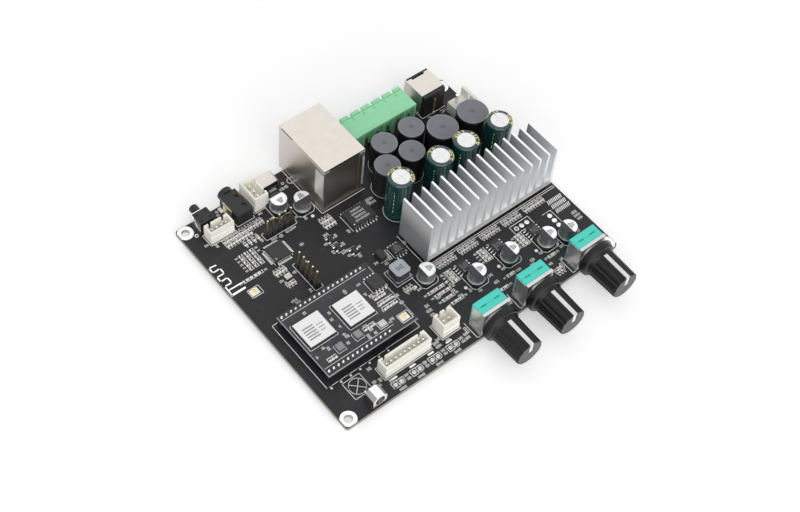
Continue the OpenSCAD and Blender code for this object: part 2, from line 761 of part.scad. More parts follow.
module power_jack_contacts() {
    strip = [0.9, 0.4, 7.4];
    strip_gap = 0.05;
    color([0.8, 0.68, 0.35]) power_frame() {
        translate([0, -power_bore_len, power_axis_h]) rotate([-90, 0, 0])
            cylinder(r = power_pin_r, h = power_pin_len);
        translate([0, -power_d - strip.y / 2 - strip_gap, 0]) slab(strip);
    }
}

// Audio jack: housing and barrel with one plug hole from the back
audio_back = 0.2;
audio_axis_h = 3;
audio_contact_t = 0.3;
audio_contact_h = 4.6;
audio_contact_gap = 0.05;
audio_pocket = [1.4, 1.7, 0.5];

// Left-hand plate and right-hand contact: length, and place along the housing
audio_contact_l = [5.4, 1.6];
audio_contact_y = [-5, -2.8];
audio_pocket_y = [-3.4, -8];

module audio_frame() {
    spot([audio_x, audio_back], back_left) children();
}

module audio_jack_housing() {
    color([0.06, 0.06, 0.07]) audio_frame() difference() {
        union() {
            translate([0, -audio_d / 2, 0]) slab([audio_w, audio_d, audio_h]);
            translate([0, 0, audio_axis_h]) rotate([-90, 0, 0])
                cylinder(r = audio_barrel_r, h = audio_barrel_len);
        }
        translate([0, audio_barrel_len + eps, audio_axis_h]) rotate([90, 0, 0])
            cylinder(r = audio_bore_r, h = audio_bore_len + eps);
        for (y = audio_pocket_y) translate([audio_w / 4, y, audio_h - audio_pocket.z])
            slab(audio_pocket + [0, 0, eps]);
    }
}

module audio_jack_contacts() {
    side = audio_w / 2 + audio_contact_gap + audio_contact_t / 2;
    color([0.85, 0.72, 0.4]) audio_frame() for (i = [0, 1])
        translate([(2 * i - 1) * side, audio_contact_y[i], 0])
            slab([audio_contact_t, audio_contact_l[i], audio_contact_h]);
}

// Small data port: a rolled shell around a plastic tongue
port_sheet = 0.25;
port_back = 1.2;
port_fit = 0.03;
port_corner_r = 0.9;
port_rear = 1.6;

module port_frame() {
    spot([port_x, port_back], back_left) translate([0, 0, port_h / 2]) rotate([90, 0, 0]) children();
}

module data_port_shell() {
    inner = [port_w - 2 * port_sheet, port_h - 2 * port_sheet];
    color([0.78, 0.77, 0.74]) port_frame() linear_extrude(port_d) difference() {
        rounded([port_w, port_h], port_corner_r);
        rounded(inner, port_corner_r - port_sheet);
    }
}

module data_port_tongue() {
    plug = [port_w - 2 * port_sheet - 2 * port_fit, port_h - 2 * port_sheet - 2 * port_fit];
    tongue = [3.8, 0.7];
    lip = 0.8;
    color([0.1, 0.1, 0.1]) port_frame() {
        translate([0, 0, port_d - port_rear]) linear_extrude(port_rear)
            rounded(plug, port_corner_r - port_sheet - port_fit);
        translate([0, 0, lip]) linear_extrude(port_d - port_rear - lip + eps) square(tongue, center = true);
    }
}

// Push switch
bracket_t = 0.3;
bracket_gap = 0.05;
plunger_z = 2.8;
plunger_hole_depth = 2.4;
plunger_rest_gap = 0.8;
switch_d = 5.6;

module switch_frame() {
    spot(switch_at, back_left) children();
}

module switch_base() {
    pit_r = 0.4;
    pit_inset = 1.2;
    color([0.07, 0.07, 0.08]) switch_frame() difference() {
        slab([switch_w, switch_d, switch_h]);
        translate([0, switch_d / 2 + eps, plunger_z]) rotate([90, 0, 0])
            cylinder(r = plunger_r + plunger_clearance, h = plunger_hole_depth);
        for (x = [-1, 1], y = [-1, 1])
            translate([x * (switch_w / 2 - pit_inset), y * (switch_d / 2 - pit_inset), switch_h - pit_r])
                cylinder(r = pit_r, h = 1);
    }
}

module switch_bracket() {
    side = switch_w / 2 + bracket_gap;
    back = switch_d / 2 + bracket_gap;
    color([0.8, 0.8, 0.8]) switch_frame() {
        difference() {
            translate([0, back + bracket_t / 2, 0]) slab([2 * (side + bracket_t), bracket_t, switch_h]);
            translate([0, back - 1, plunger_z]) rotate([-90, 0, 0])
                cylinder(r = plunger_r + plunger_clearance + 0.1, h = 2 + bracket_t);
        }
        for (s = [-1, 1]) translate([s * (side + bracket_t / 2), back + eps, 0])
            rotate([90, 0, -90]) linear_extrude(bracket_t, center = true)
                polygon([[0, 0], [0, switch_h], [1.2, switch_h], [switch_d, 1.6], [switch_d, 0]]);
    }
}

module switch_plunger() {
    inside = plunger_hole_depth - plunger_rest_gap;
    length = inside + bracket_gap + bracket_t + plunger_reach;
    round_r = 0.4;
    color([0.08, 0.08, 0.09]) switch_frame() translate([0, switch_d / 2 - inside, plunger_z])
        rotate([-90, 0, 0]) rotate_extrude() polygon([[0, 0], [plunger_r, 0], [plunger_r, length - round_r],
            [plunger_r - round_r, length], [0, length]]);
}

// Boxed wire headers: open on top, two key slots in one long wall
function header_len(spec) = (spec[3] - 1) * spec[4][0] + 2 * spec[4][1];
key_slot_w = 1.1;
ledge_t = 0.25;
ledge_h = 3;

module boxed_header(spec) {
    kind = spec[4];
    length = header_len(spec);
    color([0.88, 0.85, 0.74]) spot(spec[1], spec[0]) rotate(spec[2]) difference() {
        union() {
            slab([length, kind[2], kind[3]]);
            translate([0, ledge_t / 2, 0]) slab([length, kind[2] + ledge_t, ledge_h]);
        }
        translate([0, 0, kind[4]])
            slab([length - 2 * header_wall, kind[2] - 2 * header_wall, kind[3]]);
        for (s = [-1, 1])
            translate([s * (length / 2 - header_wall - 1.4 * key_slot_w), -kind[2] / 2, kind[3] / 2])
                slab([key_slot_w, 3 * header_wall, kind[3]]);
        header_pin_places(spec) translate([0, 0, -1])
            slab([header_pin_w + 2 * pin_gap, header_pin_w + 2 * pin_gap, kind[4] + 2]);
    }
}

// Each pin place of one boxed header, in that header's own frame
module header_pin_places(spec) {
    for (i = [0 : spec[3] - 1]) translate([(i - (spec[3] - 1) / 2) * spec[4][0], 0, 0]) children();
}

module signal_header() { boxed_header(signal_spec); }
module aux_header() { boxed_header(aux_spec); }
module display_header() { boxed_header(display_spec); }
module lamp_header() { boxed_header(lamp_spec); }

// Supply header: a base with a tall latch wall on its outer side
supply_w = 2 * supply_pitch;

module supply_frame() {
    spot(supply_at, back_right) children();
}

module supply_header() {
    window = [2, 2.4];
    color([0.88, 0.85, 0.74]) supply_frame() difference() {
        union() {
            slab([supply_d, supply_w, supply_base_h]);
            translate([(supply_d - supply_latch_t) / 2, 0, 0])
                slab([supply_latch_t, supply_w, supply_latch_h]);
        }
        translate([supply_d / 2, 0, supply_base_h + window.y / 2])
            slab([3 * supply_latch_t, window.x, window.y]);
        supply_pin_places() translate([0, 0, -1])
            slab([supply_pin_w + 2 * pin_gap, supply_pin_w + 2 * pin_gap, supply_base_h + 2]);
    }
}

module supply_pin_places() {
    for (s = [-1, 1]) translate([-supply_latch_t, s * supply_pitch / 2, 0]) children();
}

module wire_header_pins() {
    color([0.8, 0.8, 0.78]) {
        for (spec = boxed_specs) spot(spec[1], spec[0]) rotate(spec[2]) header_pin_places(spec)
            slab([header_pin_w, header_pin_w, spec[4][4] + header_pin_h]);
        supply_frame() supply_pin_places() slab([supply_pin_w, supply_pin_w, supply_pin_h]);
    }
}

// Pin headers
module post_places(spec) {
    for (i = [0 : spec[3] - 1])
        spot(spec[1], spec[0]) rotate(spec[2])
            translate([(i - (spec[3] - 1) / 2) * post_pitch, 0, 0]) children();
}

module pin_header_bases() {
    hole = post_w + 2 * pin_gap;
    color([0.07, 0.07, 0.07]) for (spec = post_specs) difference() {
        post_places(spec) linear_extrude(post_base_h) cut_square(post_pitch, post_pitch / 5);
        post_places(spec) translate([0, 0, -1]) slab([hole, hole, post_base_h + 2]);
    }
}

module pin_header_posts() {
    color([0.75, 0.65, 0.4]) for (spec = post_specs) post_places(spec) slab([post_w, post_w, post_h]);
}

// Infrared receiver in its folded shield, looking out over the front edge
shield_w = 5.8;
shield_d = 4.6;
shield_h = 5.6;
shield_t = 0.3;
shield_cut = 1.4;
receiver_gap = 0.1;
lens_r = 1.7;
lens_z = 3;

module shield_outline(w, h, cut) {
    polygon([[-w / 2, 0], [w / 2, 0], [w / 2, h - cut], [w / 2 - cut, h], [cut - w / 2, h],
        [-w / 2, h - cut]]);
}

module infrared_shield() {
    inner_w = shield_w - 2 * shield_t;
    inner_h = shield_h - shield_t;
    color([0.85, 0.85, 0.86]) spot(receiver_at, front_left) difference() {
        translate([0, shield_d, 0]) rotate([90, 0, 0]) linear_extrude(shield_d)
            shield_outline(shield_w, shield_h, shield_cut);
        translate([0, shield_d + 1, -eps]) rotate([90, 0, 0]) linear_extrude(shield_d + 1 - shield_t)
            shield_outline(inner_w, inner_h, shield_cut - shield_t / 2);
        translate([0, -1, lens_z]) rotate([-90, 0, 0]) cylinder(r = lens_r + 0.2, h = 2);
    }
}

module infrared_receiver() {
    body_w = shield_w - 2 * shield_t - 2 * receiver_gap;
    body_h = shield_h - shield_t - receiver_gap;
    body_d = shield_d - shield_t - receiver_gap;
    leg = [0.5, 0.4, 2.6];
    leg_pitch = 1.8;
    color([0.09, 0.06, 0.08]) spot(receiver_at, front_left) {
        translate([0, shield_d, 0]) rotate([90, 0, 0]) linear_extrude(body_d)
            shield_outline(body_w, body_h, shield_cut);
        translate([0, shield_d - body_d + eps, lens_z]) rotate([90, 0, 0])
            cylinder(r1 = lens_r, r2 = lens_r - 0.4, h = 0.5);
        for (i = [-1 : 1]) {
            translate([i * leg_pitch, shield_d + 0.6 - eps, leg.z - leg.y]) slab([leg.x, 1.2, leg.y]);
            translate([i * leg_pitch, shield_d + 1.2, 0]) slab([leg.x, leg.y, leg.z]);
        }
    }
}

// Potentiometers: local Z runs out over the front edge, local Y is up
module pot_axis(i) {
    spot([pot_x[i], 0], front_right) translate([0, 0, pot_axis_h]) rotate([90, 0, 0]) children();
}

module pot_block(w, y0, y1, z0, z1) {
    translate([-w / 2, y0, z0]) cube([w, y1 - y0, z1 - z0]);
}

module pot_body(i) {
    groove = 0.4;
    top = pot_body_h - pot_axis_h;
    color([0.2, 0.72, 0.6]) pot_axis(i) difference() {
        pot_block(pot_w, -pot_axis_h, top, -pot_back - pot_d, -pot_back);
        translate([0, 0, -pot_back - collar_t - 3 * collar_gap])
            cylinder(r = collar_r + 2 * collar_gap, h = collar_t + 4 * collar_gap);
        for (s = [-1, 1]) translate([s * pot_w / 4, top, -pot_back - pot_d / 2])
            cube([pot_w / 5, 4 * groove, 1.75 * groove], center = true);
        translate([0, top, -pot_back - pot_d / 2]) cube([pot_w, groove / 2, groove / 3], center = true);
    }
}

module pot_cover(i) {
    ear_h = pot_h * 0.94;
    ear_d = pot_d * 0.9;
    boss_r = bushing_r + 1.2;
    boss_t = 0.5;
    color([0.8, 0.8, 0.8]) pot_axis(i) difference() {
        union() {
            pot_block(pot_w + 2 * ear_t, -pot_axis_h, pot_h - pot_axis_h, -pot_back, -pot_setback);
            for (s = [-1, 1]) translate([s * (pot_w + ear_t) / 2, 0, 0])
                pot_block(ear_t, -pot_axis_h, ear_h - pot_axis_h, -pot_back - ear_d, -pot_setback);
            translate([0, 0, -pot_setback - eps]) cylinder(r = boss_r, h = boss_t + eps);
            translate([0, 0, -pot_setback - eps]) cylinder(r = bushing_r, h = bushing_len + eps);
        }
        translate([0, 0, -pot_back - 1])
            cylinder(r = shaft_r + shaft_clearance, h = pot_plate_t + bushing_len + 2);
    }
}

module pot_shaft(i) {
    tip = knob_back + knob_bore_depth - 0.3;
    start = -pot_back - collar_t - collar_gap;
    color([0.82, 0.82, 0.82]) pot_axis(i) {
        translate([0, 0, start]) cylinder(r = collar_r, h = collar_t);
        translate([0, 0, start]) cylinder(r = shaft_r, h = tip - start);
    }
}

// Knob: turned skirt, tapered grip with broad flutes and a pointer groove
skirt_round = 1.1;
neck_len = 1.4;
neck_step = 0.5;
knob_edge = 0.4;

module knob(i) {
    grip_start = knob_skirt_t + neck_len;
    flute_tilt = atan2(knob_grip_r - knob_end_r, knob_len - grip_start);
    profile = concat([[0, 0], [knob_skirt_r - knob_edge, 0], [knob_skirt_r, knob_edge]],
        round_over(knob_skirt_r, knob_skirt_t, skirt_round),
        [[knob_grip_r + neck_step, knob_skirt_t], [knob_grip_r, grip_start]],
        round_over(knob_end_r, knob_len, knob_edge), [[0, knob_len]]);
    color([0.06, 0.06, 0.07]) pot_axis(i) translate([0, 0, knob_back]) difference() {
        rotate_extrude() polygon(profile);
        translate([0, 0, -eps]) cylinder(r = shaft_r + knob_fit, h = knob_bore_depth);
        for (k = [1 : flute_count - 1]) rotate(90 + k * 360 / flute_count)
            translate([knob_grip_r + flute_r - flute_depth, 0, grip_start]) rotate([0, -flute_tilt, 0])
                cylinder(r = flute_r, h = knob_len);
        translate([-pointer_w / 2, knob_end_r - pointer_depth, grip_start])
            cube([pointer_w, knob_skirt_r, knob_len]);
        translate([-pointer_w / 2, knob_end_r - pointer_end_len, knob_len - pointer_depth])
            cube([pointer_w, knob_skirt_r, 2 * pointer_depth]);
    }
}

// Wireless module on two header strips
front_row_y = 1.6 - module_d / 2;
back_row_y = module_d / 2 - 1.2;
row_start_x = 1.2 - module_w / 2;
strip_w = 2;
solder_r = 0.55;
solder_h = 0.5;
module_top = module_lift + module_t;
module_chip_at = [[-12.4, 2.6], [3.4, 1.2]];
flash_at = [16.2, 5.2];
flash_w = 5.2;
flash_h = 1.8;
module_coil_at = [[-9.6, -8], [-1.8, -7.8]];
module_coil_w = 2.6;
module_coil_h = 1.4;
crystal_at = [7.6, -9.2];
crystal_size = [2.5, 2, 0.7];
module_coax_at = [15.4, -11.4];

module module_frame() {
    spot(module_at, front_left) children();
}

module module_row(count, y) {
    for (i = [0 : count - 1]) translate([row_start_x + i * module_pitch, y, 0]) children();
}

module module_board() {
    color([0.1, 0.1, 0.12]) module_frame() translate([0, 0, module_lift])
        slab([module_w, module_d, module_t]);
}

module module_strip(count, y) {
    length = count * module_pitch;
    translate([row_start_x - module_pitch / 2, y - strip_w / 2, 0]) cube([length, strip_w, module_lift]);
}

module module_header_strips() {
    color([0.06, 0.06, 0.06]) module_frame() {
        module_strip(module_front_pins, front_row_y);
        module_strip(module_back_pins, back_row_y);
    }
}

module module_solder_points() {
    color([0.8, 0.8, 0.8]) module_frame() translate([0, 0, module_top]) {
        module_row(module_front_pins, front_row_y)
            cylinder(r1 = solder_r, r2 = solder_r / 2, h = solder_h, $fn = 16);
        module_row(module_back_pins, back_row_y)
            cylinder(r1 = solder_r, r2 = solder_r / 2, h = solder_h, $fn = 16);
    }
}

module module_chips() {
    color([0.12, 0.12, 0.13]) module_frame() translate([0, 0, module_top]) {
        for (p = module_chip_at) translate(p) slab([module_chip_w, module_chip_w, module_chip_h]);
        translate(flash_at) slab([flash_w, flash_w, flash_h]);
        for (p = module_coil_at) translate(p) linear_extrude(module_coil_h) cut_square(module_coil_w, 0.4);
        translate(crystal_at) slab(crystal_size);
    }
}

module module_labels() {
    w = module_chip_w - 0.4;
    color([0.95, 0.95, 0.95]) module_frame() translate([0, 0, module_top + module_chip_h])
        for (p = module_chip_at) translate(p) slab([w, w, label_t]);
}

// Chips: a block with sloped sides drawn as two stacked slabs
module chip_block(l, w, h) {
    mid = h / 2;
    draft = 0.12;
    translate([0, 0, chip_gap]) slab([l - draft, w - draft, mid - chip_gap + eps]);
    translate([0, 0, mid]) slab([l, w, (h - mid) / 2 + eps]);
    translate([0, 0, mid + (h - mid) / 2]) slab([l - draft, w - draft, (h - mid) / 2]);
}

// A lead row on one side of a chip, along X at distance d from its middle
module lead_row(count, pitch, d, rise, w) {
    shoulder = lead_run * 0.25;
    knee = lead_run * 0.25;
    for (i = [0 : count - 1]) translate([(i - (count - 1) / 2) * pitch, d, 0])
        rotate([90, 0, 90]) linear_extrude(w, center = true)
            polygon([[0, rise], [shoulder, rise], [shoulder + knee, 0], [lead_run, 0], [lead_run, lead_t],
                [shoulder + knee + lead_t / 2, lead_t], [shoulder + lead_t / 2, rise + lead_t],
                [0, rise + lead_t]]);
}

module two_lead_rows(count, pitch, w, rise, lead_w) {
    for (a = [0, 180]) rotate(a) lead_row(count, pitch, w / 2, rise, lead_w);
}

// Every chip's place in turn: corner, place, turn
chip8_specs = [[front_left, regulator_at, 0], for (p = stage_chips_at) [front_right, p, 90]];
diode_size = [2.6, 4.2, 2];
small_diodes_at = [[42.4, -35.6], [42.4, -40], [46.2, -44.4]];
small_diode_size = [1.5, 2.6, 1.1];
status_lamp_at = [20.7, -39.3];
status_lamp_size = [2.4, 2, 0.8];

module chips() {
    color([0.1, 0.1, 0.11]) {
        for (c = chip8_specs) spot(c[1], c[0]) rotate(c[2]) chip_block(chip8_l, chip8_w, chip8_h);
        spot(interface_at, back_left) chip_block(chip16_l, chip16_w, chip16_h);
        spot(controller_at, back_left) chip_block(controller_w, controller_w, controller_h);
        spot(diode_at, front_left) slab(diode_size);
        for (p = small_diodes_at) spot(p, back_left) slab(small_diode_size);
        spot(status_lamp_at, back_left) slab(status_lamp_size);
    }
}

module chip_leads() {
    lead_w = 0.42;
    fine_w = 0.24;
    fine_count = 12;
    color([0.8, 0.8, 0.8]) {
        for (c = chip8_specs) spot(c[1], c[0]) rotate(c[2])
            two_lead_rows(4, lead_pitch, chip8_w, chip8_h / 2 - lead_t / 2, lead_w);
        spot(interface_at, back_left)
            two_lead_rows(8, lead_pitch, chip16_w, chip16_h / 2 - lead_t / 2, lead_w);
        spot(controller_at, back_left) for (a = [0, 90]) rotate(a)
            two_lead_rows(fine_count, fine_lead_pitch, controller_w, controller_h / 2 - lead_t / 2, fine_w);
        module_frame() translate([flash_at.x, flash_at.y, module_top])
            two_lead_rows(4, lead_pitch, flash_w, flash_h / 2 - lead_t / 2, lead_w);
    }
}

// Chip resistors stand at the even places of a row and chip capacitors at the odd ones
module passive_chips(odd) {
    size = [passive_l, passive_w, passive_h];
    for (row = passive_rows, i = [odd : 2 : row[3] - 1])
        spot(row[1] + i * row[2], row[0]) rotate(row[4]) slab(size);
    for (p = stage_chips_at, x = [0 : len(stage_columns) - 1], k = [0 : stage_rows - 1])
        if ((x + k) % 2 == odd)
            spot(p + [stage_columns[x], (k - (stage_rows - 1) / 2) * stage_step], front_right) slab(size);
    module_frame() translate([0, 0, module_top]) for (row = module_passive_rows, i = [odd : 2 : row[2] - 1])
        translate(row[0] + i * row[1]) rotate(row[3]) slab(size);
}

module chip_resistors() {
    color([0.15, 0.15, 0.16]) passive_chips(0);
}

module chip_capacitors() {
    color([0.6, 0.5, 0.38]) passive_chips(1);
}

// Coaxial sockets: a square foot, a round collar and a centre pin
module coax_socket() {
    foot = [2.6, 2.6, 0.35];
    collar_out = 1;
    collar_in = 0.75;
    height = 1.25;
    slab(foot);
    difference() {
        cylinder(r = collar_out, h = height);
        translate([0, 0, foot.z]) cylinder(r = collar_in, h = height);
    }
    cylinder(r = 0.25, h = height - 0.3);
}

module coax_sockets() {
    color([0.85, 0.7, 0.35]) {
        spot(coax_at, back_left) coax_socket();
        module_frame() translate([module_coax_at.x, module_coax_at.y, module_top]) coax_socket();
    }
}

// Lead tails under the board: octagonal stubs that end level
module tail(length) {
    translate([0, 0, -length]) cylinder(r = tail_r, h = length, $fn = 8);
}

module heavy_lead_tails() {
    color([0.75, 0.75, 0.73]) {
        for (x = pot_x, s = [-1, 1]) spot([x + s * (pot_w + ear_t) / 2, pot_back + pot_d / 2], front_right, 0)
            tail(heavy_tail_len);
        for (s = [-1, 1]) {
            spot([jack_x + s * jack_w / 2, jack_overhang - jack_d * 0.6], back_left, 0) tail(heavy_tail_len);
            spot([power_x + s * power_w / 4, power_back - power_d / 2], back_right, 0) tail(heavy_tail_len);
            spot(switch_at + [s * (switch_w / 2), -switch_d / 4], back_left, 0) tail(heavy_tail_len);
        }
    }
}

module light_lead_tails() {
    drum_pins = 0.5;
    bulk_pitch = 5;
    color([0.75, 0.75, 0.73]) {
        for (spec = boxed_specs) spot(spec[1], spec[0], 0) rotate(spec[2]) header_pin_places(spec)
            tail(light_tail_len);
        spot(supply_at, back_right, 0) supply_pin_places() tail(light_tail_len);
        for (spec = post_specs) translate([0, 0, -board_t]) post_places(spec) tail(light_tail_len);
        for (p = bulk_at, s = [-1, 1]) spot(p + [s * bulk_pitch / 2, 0], back_right, 0) tail(light_tail_len);
        for (p = small_drums_at, s = [-1, 1])
            spot(p + [s * drum_pins * small_drum_r, 0], back_right, 0) tail(light_tail_len);
        for (p = large_drum_at, s = [-1, 1])
            spot(p + [s * drum_pins * large_drum_r, 0], back_right, 0) tail(light_tail_len);
        for (i = [0 : pole_count - 1])
            spot([terminal_x + pole_x(i),
                terminal_back - key_len - terminal_d - bend_gap - terminal_pin_w / 2], back_right, 0)
                tail(light_tail_len);
        spot(module_at, front_left, 0) {
            module_row(module_front_pins, front_row_y) tail(light_tail_len);
            module_row(module_back_pins, back_row_y) tail(light_tail_len);
        }
    }
}

main_pcb();
heatsink();
heatsink_screws();
amplifier_chips();
thermal_pads();
bulk_capacitors();
small_inductors();
large_inductors();
can_capacitors();
can_capacitor_bases();
power_inductor();
network_jack_shell();
network_jack_insert();
network_jack_contacts();
terminal_housing();
terminal_pins();
power_jack_housing();
power_jack_shell();
power_jack_contacts();
audio_jack_housing();
audio_jack_contacts();
data_port_shell();
data_port_tongue();
switch_base();
switch_bracket();
switch_plunger();
signal_header();
aux_header();
display_header();
lamp_header();
supply_header();
wire_header_pins();
pin_header_bases();
pin_header_posts();
infrared_receiver();
infrared_shield();
pot_body(0);  // pot_body_1
pot_body(1);  // pot_body_2
pot_body(2);  // pot_body_3
pot_cover(0);  // pot_cover_1
pot_cover(1);  // pot_cover_2
pot_cover(2);  // pot_cover_3
pot_shaft(0);  // pot_shaft_1
pot_shaft(1);  // pot_shaft_2
pot_shaft(2);  // pot_shaft_3
knob(0);  // knob_1
knob(1);  // knob_2
knob(2);  // knob_3
module_board();
module_header_strips();
module_solder_points();
module_chips();
module_labels();
chips();
chip_leads();
chip_resistors();
chip_capacitors();
coax_sockets();
heavy_lead_tails();
light_lead_tails();
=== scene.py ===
# %% [markdown]
# # Dressing an audio amplifier board
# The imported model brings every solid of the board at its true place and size. This lesson adds
# what a photographer sees: studio light, the finish of each material, and the thin printed,
# plated and soldered details that are too fine for the solids.

import json
import math
import random

import bmesh
import bpy
from mathutils import Matrix, Vector


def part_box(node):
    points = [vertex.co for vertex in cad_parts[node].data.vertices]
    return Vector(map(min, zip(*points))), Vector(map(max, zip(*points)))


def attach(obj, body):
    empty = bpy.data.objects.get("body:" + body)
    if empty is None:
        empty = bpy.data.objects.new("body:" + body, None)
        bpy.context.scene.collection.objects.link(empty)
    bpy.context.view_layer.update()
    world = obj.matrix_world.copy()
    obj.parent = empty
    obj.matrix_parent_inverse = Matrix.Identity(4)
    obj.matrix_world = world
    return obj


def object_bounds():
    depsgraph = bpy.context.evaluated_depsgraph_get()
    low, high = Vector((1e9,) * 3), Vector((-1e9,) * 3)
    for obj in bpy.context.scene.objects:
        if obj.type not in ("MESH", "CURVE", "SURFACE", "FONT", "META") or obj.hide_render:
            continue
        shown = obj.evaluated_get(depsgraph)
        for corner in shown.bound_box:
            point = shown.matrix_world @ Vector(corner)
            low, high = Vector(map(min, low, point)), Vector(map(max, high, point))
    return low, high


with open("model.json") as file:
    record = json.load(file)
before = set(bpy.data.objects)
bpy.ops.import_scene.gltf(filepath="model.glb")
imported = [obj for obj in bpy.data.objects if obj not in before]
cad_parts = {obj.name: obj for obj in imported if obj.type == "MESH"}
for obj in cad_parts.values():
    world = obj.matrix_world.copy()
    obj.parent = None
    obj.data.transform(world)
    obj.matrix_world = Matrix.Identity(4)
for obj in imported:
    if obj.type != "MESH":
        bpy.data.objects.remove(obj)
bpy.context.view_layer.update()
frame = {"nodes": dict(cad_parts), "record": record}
MM = 0.001
BOARD_LO, BOARD_HI = (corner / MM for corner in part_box("main_pcb"))
print("board", [round(v, 2) for v in BOARD_HI - BOARD_LO], "mm,", len(frame["nodes"]), "solids' nodes")

# %% [markdown]
# ## Camera
# The photograph looks down on the front left corner of the board from about half a metre. A lens
# of 64 mm on a 36 mm sensor gives its mild perspective. A camera looks along its own -Z axis, so
# its matrix is built from the line to the aim point, and then rolled a little, as the hand-held
# camera was.

# %% Camera at the photograph's viewpoint
CAMERA_AT = Vector((-213.5, -212.1, 413.1)) * MM
CAMERA_AIM = Vector((-4.5, -6.3, 1.6)) * MM
CAMERA_ROLL = math.radians(7.34)
LENS_MM, SENSOR_MM = 63.9, 36

camera_data = bpy.data.cameras.new("camera")
camera_data.lens, camera_data.sensor_width = LENS_MM, SENSOR_MM
camera_data.clip_start = 0.01
camera = bpy.data.objects.new("camera", camera_data)
look = (CAMERA_AIM - CAMERA_AT).to_track_quat("-Z", "Y").to_matrix().to_4x4()
camera.matrix_world = Matrix.Translation(CAMERA_AT) @ look @ Matrix.Rotation(CAMERA_ROLL, 4, "Z")
bpy.context.scene.collection.objects.link(camera)
bpy.context.scene.camera = camera
print("camera", round((CAMERA_AIM - CAMERA_AT).length, 3), "m from its aim point")

# %% [markdown]
# ## Shader maths
# A material's pattern is a formula over the surface. Writing each formula node by node hides its
# meaning, so one small class wraps a socket and lets Python's operators add the Math nodes. One
# method makes every other kind of node.


# %% A socket with operators
class Wire:
    """One output socket of a material; arithmetic on it adds Math nodes."""

    def __init__(self, tree, socket):
        self.tree, self.socket = tree, socket

    def math(self, operation, *values):
        node = self.tree.nodes.new("ShaderNodeMath")
        node.operation = operation
        for slot, value in zip(node.inputs, values):
            connect(self.tree, slot, value)
        return Wire(self.tree, node.outputs[0])

    def __add__(self, other): return self.math("ADD", self, other)
    def __radd__(self, other): return self.math("ADD", other, self)
    def __sub__(self, other): return self.math("SUBTRACT", self, other)
    def __rsub__(self, other): return self.math("SUBTRACT", other, self)
    def __mul__(self, other): return self.math("MULTIPLY", self, other)
    def __rmul__(self, other): return self.math("MULTIPLY", other, self)
    def __gt__(self, other): return self.math("GREATER_THAN", self, other)
    def __lt__(self, other): return self.math("LESS_THAN", self, other)
    def __abs__(self): return self.math("ABSOLUTE", self)


def connect(tree, slot, value):
    """Links a wire to a socket, or sets the socket's own value."""
    if isinstance(value, Wire):
        tree.links.new(value.socket, slot)
    elif hasattr(slot.default_value, "__len__") and len(slot.default_value) == 4 and len(value) == 3:
        slot.default_value = (*value, 1.0)
    else:
        slot.default_value = value


class Finish:
    """A material with one Principled shader, and the nodes that feed it."""

    def __init__(self, name):
        self.material = bpy.data.materials.new(name)
        self.material.use_nodes = True
        self.tree = self.material.node_tree
        self.shader = self.tree.nodes["Principled BSDF"]

    def node(self, kind, settings=None, inputs=None, out=0):
        made = self.tree.nodes.new("ShaderNode" + kind)
        for key, value in (settings or {}).items():
            setattr(made, key, value)
        for key, value in (inputs or {}).items():
            connect(self.tree, made.inputs[key], value)
        return Wire(self.tree, made.outputs[out])

    def place(self, scale=(1, 1, 1)):
        """Object coordinates in millimetres, stretched by scale."""
        found = self.node("TexCoord", out="Object")
        return self.node("Mapping", inputs={"Vector": found, "Scale": [s / MM for s in scale]})

    def noise(self, per_mm, detail=2.0, scale=(1, 1, 1), rough=0.5):
        return self.node("TexNoise", inputs={"Vector": self.place(scale), "Scale": per_mm,
                                             "Detail": detail, "Roughness": rough})

    def mix(self, factor, tone_a, tone_b):
        return self.node("Mix", {"data_type": "RGBA"}, {0: factor, 6: tone_a, 7: tone_b}, out=2)

    def facing(self, axis):
        """One component of the surface's direction."""
        normal = self.node("NewGeometry", out="Normal")
        return self.node("SeparateXYZ", inputs={"Vector": normal}, out=axis)

    def set(self, **sockets):
        for key, value in sockets.items():
            connect(self.tree, self.shader.inputs[key.replace("_", " ")], value)
        return self

    def edges(self, radius_mm, height=None, depth_mm=0.01, strength=1.0):
        """Softened edges, and a bump over them where a height is given."""
        rounded = self.node("Bevel", {"samples": 4}, {"Radius": radius_mm * MM})
        if height is not None:
            rounded = self.node("Bump", inputs={"Height": height, "Distance": depth_mm * MM,
                                                "Strength": strength, "Normal": rounded})
        return self.set(Normal=rounded)


print("shader maths ready")

# %% [markdown]
# ## Moulded, drawn and plated finishes
# Most surfaces on the board are of two kinds: moulded plastic or ferrite with a fine grain, and
# plated metal with the streaks of its rolling. One function covers each kind. Two close tones
# drift over the surface, the roughness drifts with them, and the grain or the streaks lift it. The
# faces along one axis can get a tone of their own. On the knob's end, the cans, the jack shell, the
# pot covers and the receiver's shield this is painted light: a paler or darker copy of the same
# plastic or metal that stands in for a highlight or shade. The coil blocks and lids get their grey
# tops the same way. A third value says how squarely a face has to look along the axis.


# %% Plastics and metals
FLAT_ON = 0.9


def drifting(made, slow, tone, drift, face):
    """Two close tones over the surface, and another pair on the faces along an axis."""
    def pair(middle):
        light = [min(1.0, c * (1 + drift)) for c in middle]
        return made.mix(slow, [c * (1 - drift) for c in middle], light)

    if not face:
        return pair(tone)
    axis, face_tone, least = face if len(face) == 3 else (*face, FLAT_ON)
    return made.mix(abs(made.facing(axis)) > least, pair(tone), pair(face_tone))


def moulded(name, tone, drift=0.12, rough=0.45, grain=7.0, depth=0.006, edge=0.15, coat=0.0,
            gloss=0.4, face=None):
    """Moulded plastic: slow colour drift, fine grain, softened edges."""
    made = Finish(name)
    slow = made.noise(0.35, 3.0)
    fine = made.noise(grain, 2.0)
    made.set(Base_Color=drifting(made, slow, tone, drift, face), Roughness=rough - 0.08 + slow * 0.16)
    made.set(Coat_Weight=coat, Specular_IOR_Level=gloss)
    return made.edges(edge, fine, depth).material


